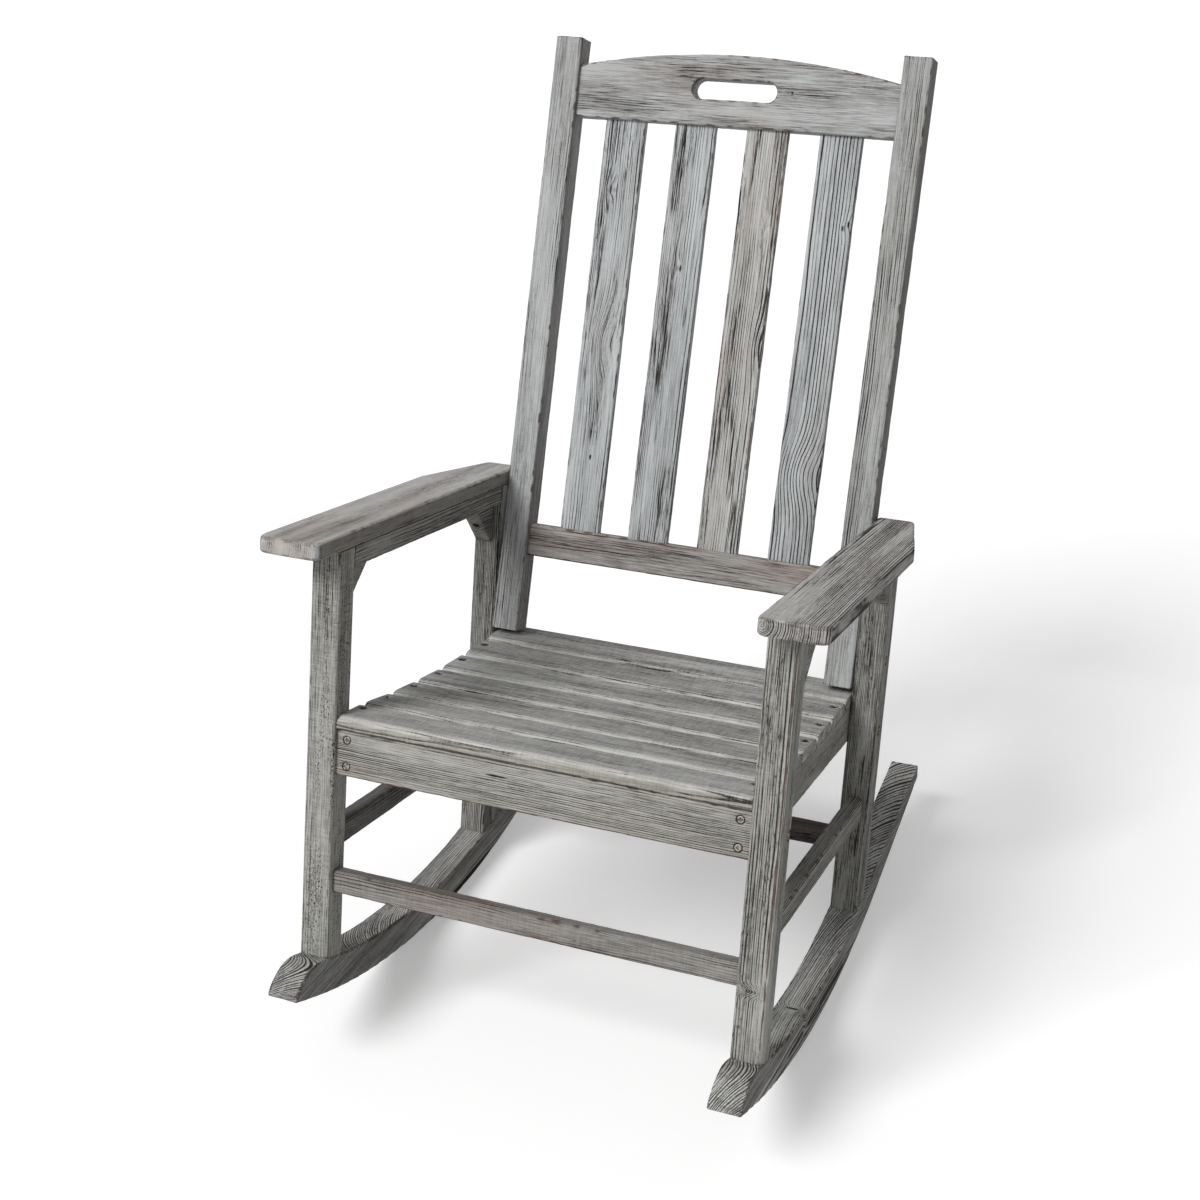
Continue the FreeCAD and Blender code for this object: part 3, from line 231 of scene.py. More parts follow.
# Painted shadow along the seam under the first seat slat's front, over the apron.
SEAM_SHADOW = Stripe((0.0, 0.0, -1.0), inset=0.0004, width=0.0024, color=tone(52, 48, 44))


@dataclass(frozen=True)
class Knot:
    """Knot or slit that the rings bend round, placed in the board's own directions."""

    place: Triple
    size: float
    core: float = 1.0
    bend: float = 1.3
    shape: Triple = (0.36, 1.0, 0.5)


@dataclass(frozen=True)
class MetalFinish:
    """Metal of one kind of fastener."""

    name: str
    color: Triple
    tarnish: Triple
    metallic: float
    roughness: float
    marked: float = 0.5
    dulled: float = 0.25
    scratch: float = 0.0002
    scratched: float = 0.3


LIGHT_SCREW = MetalFinish("light_screw", tone(166, 160, 150), tone(92, 80, 70), metallic=0.75,
                          roughness=0.42, marked=0.4)
DARK_SCREW = MetalFinish("dark_screw", tone(44, 42, 42), tone(24, 22, 22), metallic=0.6, roughness=0.6)
BRASS_BOLT = MetalFinish("brass_bolt", tone(150, 132, 92), tone(74, 62, 42), metallic=0.8, roughness=0.5)


@dataclass(frozen=True)
class Layer:
    """One noise, by its repeats in a metre along, across and through a board.

    The shift moves it across the board, and the gain makes it stronger where it swings about zero.
    """

    stretch: Triple
    detail: float = 2.0
    rough: float = 0.5
    shift: float = 0.0
    gain: float = 1.0


@dataclass(frozen=True)
class Layers:
    """Every noise in the finishes. Cracks and pores take their run along the grain from the finish."""

    slow_bend: Layer = Layer((3.1, 9.0, 9.0), rough=0.45)
    quick_bend: Layer = Layer((20.0, 80.0, 80.0))
    knot_rim: Layer = Layer((500.0, 700.0, 700.0), gain=0.6)
    groups: Layer = Layer((6.0, 45.0, 45.0))
    cracks: Layer = Layer((0.0, 800.0, 260.0), rough=0.6)
    pores: Layer = Layer((0.0, 640.0, 640.0), detail=1.0)
    fibres: Layer = Layer((34.0, 760.0, 760.0), 3.0, 0.65, gain=4.5)
    cover: Layer = Layer((5.0, 34.0, 34.0), 3.0, 0.6, shift=3.0)
    patches: Layer = Layer((3.0, 40.0, 40.0), 3.0, 0.6, shift=7.0, gain=4.0)
    saw: Layer = Layer((430.0, 60.0, 60.0), rough=0.6, gain=4.0)
    tint: Layer = Layer((4.0, 22.0, 22.0), 3.0, 0.6, shift=9.0)
    slow_rub: Layer = Layer((14.0, 12.0, 12.0), rough=0.65, gain=3.6)
    quick_rub: Layer = Layer((70.0, 380.0, 380.0), 3.0, 0.65, gain=2.2)
    line_breaks: Layer = Layer((30.0, 90.0, 90.0), 3.0, 0.6)
    # Ragged rim of the painted shadow rings round fastener heads.
    shadow_rim: Layer = Layer((400.0, 400.0, 400.0), gain=0.0016)
    spots: Layer = Layer((260.0, 260.0, 260.0), 3.0, 0.6)
    scratches: Layer = Layer((1500.0, 1500.0, 1500.0), rough=0.6)


@dataclass(frozen=True)
class Steps:
    """Where each soft step from 0 to 1 starts and ends."""

    knot_core: Pair = (0.3, 0.75)
    groups: Pair = (0.42, 0.58)
    cracks: Pair = (0.53, 0.59)
    pores: Pair = (0.58, 0.65)
    tint: Pair = (0.48, 0.66)
    edge: Pair = (0.6, 1.1)
    end: Pair = (0.0005, 0.0015)
    facing: Pair = (0.82, 0.97)
    line_breaks: Pair = (0.36, 0.52)
    bare: Pair = (-0.12, 0.1)
    middle: Pair = (-0.3, 0.45)
    dark: Pair = (0.35, 0.85)


LAYERS = Layers()
STEPS = Steps()


class Graph:
    """Short hand for adding and joining the nodes of one tree."""

    def __init__(self, tree: bpy.types.NodeTree) -> None:
        """Keeps the tree of a group or a material."""
        self.tree = tree

    def node(self, kind: str, **settings: object) -> bpy.types.Node:
        """Adds a node.

        Args:
            kind: The node's type name.
            **settings: Properties to set on it.

        Returns:
            The new node.
        """
        made = self.tree.nodes.new(kind)
        for name, value in settings.items():
            setattr(made, name, value)
        return made

    def feed(self, sockets: Sockets, values: Values) -> bpy.types.NodeTree:
        """Joins sockets to others, or gives them plain values.

        Args:
            sockets: The inputs, by name or number.
            values: A socket, a number, a colour or a vector for each.

        Returns:
            The tree.
        """
        for key, value in values.items():
            if isinstance(value, Socket):
                self.tree.links.new(value, sockets[key])
            elif sockets[key].type == "RGBA":
                sockets[key].default_value = (*value, 1.0)
            else:
                sockets[key].default_value = value
        return self.tree

    def add(self, kind: str, values: Values, out: str | int = 0, **settings: object) -> Socket:
        """Adds a node and feeds its inputs.

        Args:
            kind: The node's type name.
            values: What its inputs get, by their names or numbers.
            out: Name or number of the output to give back.
            **settings: Properties to set on the node.

        Returns:
            The output.
        """
        made = self.node(kind, **settings)
        self.feed(made.inputs, values)
        return made.outputs[out]

    def group(self, tree: bpy.types.NodeTree, values: Values) -> Sockets:
        """Places a group in a material, fed by name, and gives all its outputs."""
        first = self.add("ShaderNodeGroup", values, node_tree=tree)
        return {socket.name: socket for socket in first.node.outputs}

    def math(self, operation: str, *values: object, clamp: bool = False) -> Socket:
        """Adds a sum of one to three numbers."""
        return self.add("ShaderNodeMath", dict(enumerate(values)), operation=operation, use_clamp=clamp)

    def times(self, first: object, second: object) -> Socket:
        """Multiplies two numbers."""
        return self.math("MULTIPLY", first, second)

    def plus(self, first: object, second: object) -> Socket:
        """Adds two numbers."""
        return self.math("ADD", first, second)

    def less(self, first: object, second: object) -> Socket:
        """Takes the second number from the first."""
        return self.math("SUBTRACT", first, second)

    def rest(self, share: object) -> Socket:
        """What a share leaves of one."""
        return self.math("SUBTRACT", 1.0, share)

    def vector(self, operation: str, *values: object, out: str = "Vector") -> Socket:
        """Adds a sum of vectors."""
        return self.add("ShaderNodeVectorMath", dict(enumerate(values)), out, operation=operation)

    def length(self, vector: Socket) -> Socket:
        """Length of a vector."""
        return self.vector("LENGTH", vector, out="Value")

    def dot(self, vector: Socket, way: Socket) -> Socket:
        """Size of a vector along a way."""
        return self.vector("DOT_PRODUCT", vector, way, out="Value")

    def scaled(self, vector: Socket, scale: object) -> Socket:
        """Multiplies a vector by a number."""
        return self.add("ShaderNodeVectorMath", {0: vector, "Scale": scale}, "Vector", operation="SCALE")

    def parts(self, vector: Socket) -> list[Socket]:
        """Splits a vector into its three numbers."""
        return list(self.add("ShaderNodeSeparateXYZ", {0: vector}).node.outputs)

    def joined(self, *values: object) -> Socket:
        """Makes a vector of three numbers."""
        return self.add("ShaderNodeCombineXYZ", dict(enumerate(values)))

    def noise(self, place: Socket, detail: float, rough: float = 0.5, out: str | int = 0) -> Socket:
        """Adds a soft noise of unit size, which is about one half on average."""
        values = {"Vector": place, "Scale": 1.0, "Detail": detail, "Roughness": rough}
        return self.add("ShaderNodeTexNoise", values, out)

    def layer(self, layer: Layer, place: Socket, shift: object = (0, 0, 0), out: str | int = 0) -> Socket:
        """Reads a layer of noise at a place."""
        place = self.vector("ADD", self.vector("MULTIPLY", place, layer.stretch), shift)
        return self.noise(place, layer.detail, layer.rough, out)

    def swing(self, layer: Layer, value: Socket) -> Socket:
        """Turns a layer's noise into one that swings about zero with the layer's gain."""
        return self.times(self.less(value, 0.5), layer.gain)

    def step(self, value: object, low: object, high: object) -> Socket:
        """Rises softly from 0 to 1 as a number goes from low to high."""
        values = {"Value": value, "From Min": low, "From Max": high}
        return self.add("ShaderNodeMapRange", values, interpolation_type="SMOOTHSTEP")

    def blend(self, factor: object, first: object, second: object) -> Socket:
        """Mixes two colours, which are the mix node's sockets 6 and 7, and 2 for the result."""
        return self.add("ShaderNodeMix", {0: factor, 6: first, 7: second}, 2, data_type="RGBA")

    def bump(self, height: Socket, distance: float, strength: float = 1.0) -> Socket:
        """Turns a height into a normal."""
        return self.add("ShaderNodeBump", {"Height": height, "Distance": distance, "Strength": strength})


def new_group(name: str, inputs: dict[str, str], outputs: dict[str, str]) -> tuple[Graph, Sockets, Sockets]:
    """Starts a shader group with named inputs and outputs.

    Args:
        name: The group's name.
        inputs: Names and kinds (Float, Vector or Color) of its inputs.
        outputs: Names and kinds of its outputs.

    Returns:
        The graph, the inner ends of the inputs and those of the outputs.
    """
    tree = bpy.data.node_groups.new(name, "ShaderNodeTree")
    for direction, sockets in (("INPUT", inputs), ("OUTPUT", outputs)):
        for label, kind in sockets.items():
            tree.interface.new_socket(label, in_out=direction, socket_type=f"NodeSocket{kind}")
    start = tree.nodes.new("NodeGroupInput").outputs
    end = tree.nodes.new("NodeGroupOutput").inputs
    given, out = ({socket.name: socket for socket in ends if socket.name} for ends in (start, end))
    return Graph(tree), given, out


def new_material(name: str) -> tuple[bpy.types.Material, Graph, Sockets]:
    """Starts a material.

    Args:
        name: The material's name.

    Returns:
        The material, its graph and the inputs of its shader.
    """
    material = bpy.data.materials.new(name)
    material.use_nodes = True
    return material, Graph(material.node_tree), material.node_tree.nodes["Principled BSDF"].inputs


def floats(*names: str) -> dict[str, str]:
    """Sockets that all hold numbers."""
    return dict.fromkeys(names, "Float")


def vectors(*names: str) -> dict[str, str]:
    """Sockets that all hold vectors."""
    return dict.fromkeys(names, "Vector")


def knot_bend() -> bpy.types.NodeTree:
    """Swelling of the rings round one knot, added to those before it.

    Returns:
        A group that gives how far the rings are pushed aside, and the knot's dark core.
    """
    graph, given, out = new_group(
        "knot_bend",
        vectors("Place", "Spot", "Shape") | floats("Size", "Bend", "Core Share", "Swell", "Others"),
        floats("Swell", "Core"))
    fall = -0.35
    away = graph.vector("SUBTRACT", given["Place"], given["Spot"])
    away = graph.length(graph.vector("MULTIPLY", away, given["Shape"]))
    away = graph.math("DIVIDE", away, given["Size"])
    swell = graph.math("EXPONENT", graph.times(graph.math("POWER", away, 2.0), fall))
    swell = graph.times(swell, graph.times(given["Size"], given["Bend"]))
    ragged = graph.swing(LAYERS.knot_rim, graph.layer(LAYERS.knot_rim, given["Place"]))
    core = graph.rest(graph.step(graph.plus(away, ragged), *STEPS.knot_core))
    core = graph.math("MAXIMUM", graph.times(core, given["Core Share"]), given["Others"])
    return graph.feed(out, {"Swell": graph.plus(swell, given["Swell"]), "Core": core})


def growth_rings() -> bpy.types.NodeTree:
    """Rings of the tree that a board was sawn from.

    Returns:
        A group that gives the dark grooves of the rings, each ring's own tone and its distance from the pith.
    """
    graph, given, out = new_group(
        "growth_rings",
        vectors("Place", "Middle") | floats("Seed", "Ring Width", "Ring Line", "Wander", "Swell"),
        floats("Rings", "Tone", "Distance"))
    seed_run, seed_start = 7.31, 3.7
    ring_share, wander_share = 0.5, 0.2
    uneven_run, uneven_detail, uneven_gain = 0.3, 1.0, 2.5
    widest_line, line_core = 0.34, 0.25
    shift = graph.joined(graph.times(given["Seed"], seed_run), given["Seed"], seed_start)

    def bent(layer: Layer, amount: Socket) -> Socket:
        """Slow or quick bends of the grain."""
        bend = graph.vector("SUBTRACT", graph.layer(layer, given["Place"], shift, "Color"), (0.5, 0.5, 0.5))
        return graph.scaled(bend, amount)

    least = graph.math("MINIMUM", graph.times(given["Ring Width"], ring_share),
                       graph.times(given["Wander"], wander_share))
    bends = graph.vector("ADD", bent(LAYERS.slow_bend, given["Wander"]), bent(LAYERS.quick_bend, least))
    place = graph.vector("ADD", given["Place"], bends)
    offset = graph.vector("SUBTRACT", place, given["Middle"])
    offset = graph.vector("MULTIPLY", offset, (0.0, 1.0, 1.0))
    distance = graph.plus(graph.length(offset), given["Swell"])
    count = graph.math("DIVIDE", distance, given["Ring Width"])
    uneven = graph.noise(graph.joined(graph.times(count, uneven_run), given["Seed"], 0.0), uneven_detail)
    count = graph.plus(count, graph.times(uneven, uneven_gain))
    part = graph.math("ABSOLUTE", graph.less(graph.math("FRACT", count), 0.5))
    high = graph.math("MINIMUM", graph.math("DIVIDE", given["Ring Line"], given["Ring Width"]), widest_line)
    rings = graph.rest(graph.step(part, graph.times(high, line_core), high))
    number = {"Vector": graph.joined(graph.math("FLOOR", count), given["Seed"], 0.0)}
    own = graph.add("ShaderNodeTexWhiteNoise", number, "Value", noise_dimensions="2D")
    return graph.feed(out, {"Rings": rings, "Tone": own, "Distance": distance})


def wood_fibres() -> bpy.types.NodeTree:
    """Cracks, fibres and pores that run with the grain, and how far the wash covers them.

    Returns:
        A group that gives cracks along the rings, fibres, pores, the wash's cover, broad patches, the saw's
        marks across the board and a tint.
    """
    graph, given, out = new_group(
        "wood_fibres", vectors("Place") | floats("Distance", "Seed", "Crack Run", "Pore Run"),
        floats("Cracks", "Fibres", "Pores", "Cover", "Patches", "Saw", "Tint"))
    along, across, deep = graph.parts(given["Place"])
    along = graph.plus(along, given["Seed"])

    def read(layer: Layer, run: Socket | None = None, side: Socket | None = None) -> Socket:
        """Reads one layer.

        Args:
            layer: The layer.
            run: Repeats along the grain, where the finish gives them.
            side: What takes the place of the way across the board.

        Returns:
            The noise.
        """
        side = side or graph.plus(across, layer.shift)
        length, width, depth = layer.stretch
        place = graph.joined(graph.times(along, run or length), graph.times(side, width),
                             graph.times(deep, depth))
        return graph.noise(place, layer.detail, layer.rough)

    groups = graph.step(read(LAYERS.groups), *STEPS.groups)
    cracks = graph.step(read(LAYERS.cracks, given["Crack Run"], given["Distance"]), *STEPS.cracks)
    pores = graph.step(read(LAYERS.pores, given["Pore Run"]), *STEPS.pores)
    fibres, patches, saw = (graph.swing(layer, read(layer))
                            for layer in (LAYERS.fibres, LAYERS.patches, LAYERS.saw))
    return graph.feed(out, {
        "Cracks": graph.times(cracks, groups), "Pores": graph.times(pores, groups), "Fibres": fibres,
        "Patches": patches, "Saw": saw, "Cover": read(LAYERS.cover),
        "Tint": graph.step(read(LAYERS.tint), *STEPS.tint)})


def board_edges() -> bpy.types.NodeTree:
    """Nearness of a board's arrises, where the wash is rubbed off in places.

    Returns:
        A group that gives a broken mask along the arrises and a mask of the sawn ends.
    """
    graph, given, out = new_group(
        "board_edges", vectors("Place", "Half Size") | floats("Reach", "Width", "Seed"),
        floats("Edge", "End"))
    seed_run, fade = 3.0, 1.7
    inside = graph.vector("SUBTRACT", given["Half Size"], graph.vector("ABSOLUTE", given["Place"]))
    shift = graph.joined(given["Seed"], 0.0, graph.times(given["Seed"], seed_run))
    slow, quick = (graph.swing(layer, graph.layer(layer, given["Place"], shift))
                   for layer in (LAYERS.slow_rub, LAYERS.quick_rub))
    near = graph.rest(graph.math("DIVIDE", given["Reach"], given["Width"]))
    near = graph.plus(near, graph.plus(slow, quick))
    close = graph.rest(graph.step(given["Reach"], given["Width"], graph.times(given["Width"], fade)))
    return graph.feed(out, {"Edge": graph.times(graph.step(near, *STEPS.edge), close),
                            "End": graph.rest(graph.step(graph.parts(inside)[0], *STEPS.end))})


def facing() -> bpy.types.NodeTree:
    """Faces that look one way, where painted shade or a painted highlight goes, such as the front of a slat
    below its round nose.

    Returns:
        A group that gives a mask of those faces, and of their opposites where that is 1.
    """
    graph, given, out = new_group("facing", vectors("Normal", "Way") | floats("Opposite"), floats("Mask"))
    size = graph.dot(given["Normal"], given["Way"])
    other = graph.times(size, graph.times(given["Opposite"], -1.0))
    return graph.feed(out, {"Mask": graph.step(graph.math("MAXIMUM", size, other), *STEPS.facing)})


def bare_line() -> bpy.types.NodeTree:
    """Broken line beside one arris: bare wood, or a painted shadow along a seam.

    Returns:
        A group that gives the line's mask.
    """
    graph, given, out = new_group(
        "bare_line", vectors("Place", "Half Size", "Way") | floats("Inset", "Width", "Seed"), floats("Line"))
    softness, strength = 0.0004, 0.85
    half = graph.math("ABSOLUTE", graph.dot(given["Half Size"], given["Way"]))
    inside = graph.less(half, graph.dot(given["Place"], given["Way"]))
    uneven = graph.layer(LAYERS.line_breaks, given["Place"], graph.joined(given["Seed"], 0.0, 0.0))
    width = graph.times(given["Width"], graph.step(uneven, *STEPS.line_breaks))
    off = graph.math("ABSOLUTE", graph.less(inside, given["Inset"]))
    line = graph.rest(graph.step(off, width, graph.plus(width, softness)))
    return graph.feed(out, {"Line": graph.times(line, strength)})


def worn_wash() -> bpy.types.NodeTree:
    """Colour, roughness and relief of the wash over the grain.

    Returns:
        A group that turns the grain's masks into the finish.
    """
    masks = [name.title() for name in SHARES]
    graph, given, out = new_group(
        "worn_wash",
        floats(*masks, *(f"{mask} Share" for mask in masks), "Tone", "Core", "Fastener Shadows", "Wear", "Roughness")
        | dict.fromkeys(("Pale", "Middle", "Dark", "Warm", "Edge Color"), "Color"),
        {"Color": "Color", "Roughness": "Float", "Height": "Float"})
    covered_rings, faint_ring, ring_range = 0.2, 0.5, 0.7
    core_dark, core_color, pale_tint = 0.9, 0.85, 0.7
    dark_rough, level, dark_drop, edge_drop = 0.08, 0.8, 0.6, 0.3

    def share(mask: str) -> Socket:
        """A mask in its share."""
        return graph.times(given[mask], given[f"{mask} Share"])

    bare = graph.step(graph.less(given["Cover"], given["Cover Share"]), *STEPS.bare)
    bare = graph.math("MAXIMUM", bare, share("End"))
    bare = graph.math("MULTIPLY_ADD", bare, 1.0 - covered_rings, covered_rings)
    rings = graph.times(share("Rings"), graph.math("MULTIPLY_ADD", given["Tone"], ring_range, faint_ring))
    lines = graph.math("MAXIMUM", share("Cracks"), share("Pores"))
    dark = graph.plus(graph.math("MAXIMUM", graph.times(rings, bare), lines), given["Wear"])
    for mask in ("Fibres", "Patches", "Saw"):
        dark = graph.plus(dark, share(mask))
    dark = graph.plus(dark, graph.times(given["Core"], core_dark))
    tint, edge = share("Tint"), share("Edge")
    pale = graph.blend(graph.times(tint, pale_tint), given["Pale"], given["Warm"])
    middle = graph.blend(tint, given["Middle"], given["Warm"])
    color = graph.blend(graph.step(dark, *STEPS.middle), pale, middle)
    color = graph.blend(graph.step(dark, *STEPS.dark), color, given["Dark"])
    color = graph.blend(graph.times(given["Core"], core_color), color, given["Dark"])
    color = graph.blend(edge, color, given["Edge Color"])
    height = graph.less(level, graph.times(dark, dark_drop))
    return graph.feed(out, {
        # Painted shadow rings round the fastener heads, in the dark tone.
        "Color": graph.blend(given["Fastener Shadows"], color, given["Dark"]),
        "Roughness": graph.math("MULTIPLY_ADD", dark, dark_rough, given["Roughness"], clamp=True),
        "Height": graph.less(height, graph.times(edge, edge_drop))})


def fastener_shadows() -> bpy.types.NodeTree:
    """Painted shadow ring round a screw or bolt head, as if the head sat in a recess.

    Returns:
        A group that gives a ring round one spot, added to those before it.
    """
    graph, given, out = new_group(
        "fastener_shadows", vectors("Place", "Spot") | floats("Radius", "Others"), floats("Fastener Shadows"))
    rim, strength = 0.0014, 0.9
    away = graph.length(graph.vector("SUBTRACT", given["Place"], given["Spot"]))
    ragged = graph.swing(LAYERS.shadow_rim, graph.layer(LAYERS.shadow_rim, given["Place"]))
    away = graph.plus(away, ragged)
    ring = graph.rest(graph.step(away, given["Radius"], graph.plus(given["Radius"], rim)))
    return graph.feed(out, {"Fastener Shadows": graph.math("MAXIMUM", graph.times(ring, strength), given["Others"])})


def tarnish() -> bpy.types.NodeTree:
    """Spots and scratches on metal.

    Returns:
        A group that gives the spots, and the height of the scratches.
    """
    graph, given, out = new_group("tarnish", vectors("Place") | floats("Share"), floats("Spots", "Height"))
    clean, share_range, softness = 0.6, -0.3, 0.12
    low = graph.math("MULTIPLY_ADD", given["Share"], share_range, clean)
    spots = graph.step(graph.layer(LAYERS.spots, given["Place"]), low, graph.plus(low, softness))
    return graph.feed(out, {"Spots": spots, "Height": graph.layer(LAYERS.scratches, given["Place"])})


@dataclass
class Board:
    """One board's place, grain and finish."""

    node: str
    grain: Grain
    finish: WashedFinish
    tilt: float = LEAN
    middle: Pair = (0.02, 0.05)
    knots: tuple[Knot, ...] = ()
    stripes: tuple[Stripe, ...] = ()
    faces: tuple[Face, ...] = ()

    def axes(self) -> Matrix:
        """Turn of the board.

        Returns:
            The turn, whose columns run along, across and through the board.
        """
        lean = Matrix.Rotation(-self.tilt, 3, "X")
        across, deep, up = (lean @ Vector(axis) for axis in ((1, 0, 0), (0, 1, 0), (0, 0, 1)))
        columns = {Grain.ACROSS: (across, deep, up), Grain.DEEP: (deep, -across, up),
                   Grain.UP: (up, across, deep)}
        return Matrix(columns[self.grain]).transposed()

    def middle_and_half(self) -> tuple[Vector, Vector]:
        """Place and size of the board.

        Returns:
            Its middle in the chair's frame, and half its size in its own directions.
        """
        axes = self.axes()
        inverse = axes.transposed()
        spots = [inverse @ vertex.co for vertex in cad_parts[self.node].data.vertices]
        low = Vector(min(spot[part] for spot in spots) for part in range(3))
        high = Vector(max(spot[part] for spot in spots) for part in range(3))
        return axes @ ((low + high) / 2), (high - low) / 2

    def seed(self) -> float:
        """Shift of the board's noise.

        Returns:
            One of many even steps, picked by the letters of the board's name.
        """
        steps, size = 211, 0.61
        letters = sum(place * ord(letter) for place, letter in enumerate(self.node, 1))
        return letters % steps * size


def heads(node: str, outward: Vector | None) -> list[Vector]:
    """Middles of the faces that the fasteners of one node show.

    Args:
        node: The fasteners' node.
        outward: The way the heads look, or None where they look away from the chair's middle plane.

    Returns:
        One place for each fastener.
    """
    apart = 0.012
    skin = 0.0008
    groups: list[tuple[Vector, list[Vector]]] = []
    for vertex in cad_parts[node].data.vertices:
        spot = vertex.co.copy()
        way = outward or Vector((math.copysign(1.0, spot.x), 0.0, 0.0))
        level = spot - way * spot.dot(way)
        for side, group in groups:
            if side.dot(way) > 0.0 and (group[0] - group[0].dot(way) * way - level).length < apart:
                group.append(spot)
                break
        else:
            groups.append((way, [spot]))
    found = []
    for way, group in groups:
        top = max(spot.dot(way) for spot in group)
        near = [spot for spot in group if spot.dot(way) > top - skin]
        found.append(sum(near, Vector()) / len(near))
    return found


class Workshop:
    """Shared groups, built once, and the places of the fasteners."""

    # Radii of the painted shadow rings round the fastener heads.
    apron_shadow_ring = 0.0049
    slat_mark = 0.0046
    bolt_shadow_ring = 0.0064

    def __init__(self) -> None:
        """Builds the shared groups and finds the fasteners."""
        self.knots = knot_bend()
        self.rings = growth_rings()
        self.fibres = wood_fibres()
        self.edges = board_edges()
        self.facing = facing()
        self.line = bare_line()
        self.wash = worn_wash()
        self.marks = fastener_shadows()
        self.tarnish = tarnish()
        lean = Matrix.Rotation(-LEAN, 3, "X")
        kinds = (("apron_screws", lean @ Vector((0, -1, 0)), self.apron_shadow_ring),
                 ("slat_screws", lean @ Vector((0, 0, 1)), self.slat_mark),
                 ("rail_bolts", None, self.bolt_shadow_ring), ("post_bolts", None, self.bolt_shadow_ring))
        self.spots = [(spot, radius) for node, way, radius in kinds for spot in heads(node, way)]

    def metal(self, finish: MetalFinish) -> bpy.types.Material:
        """Material of one kind of fastener.

        Args:
            finish: The metal's finish.

        Returns:
            The material.
        """
        material, graph, shader = new_material(finish.name)
        place = graph.node("ShaderNodeTexCoord").outputs["Object"]
        marks = graph.group(self.tarnish, {"Place": place, "Share": finish.marked})
        graph.feed(shader, {
            "Base Color": graph.blend(marks["Spots"], finish.color, finish.tarnish),
            "Metallic": finish.metallic,
            "Roughness": graph.math("MULTIPLY_ADD", marks["Spots"], finish.dulled, finish.roughness),
            "Normal": graph.bump(marks["Height"], finish.scratch, finish.scratched)})
        return material


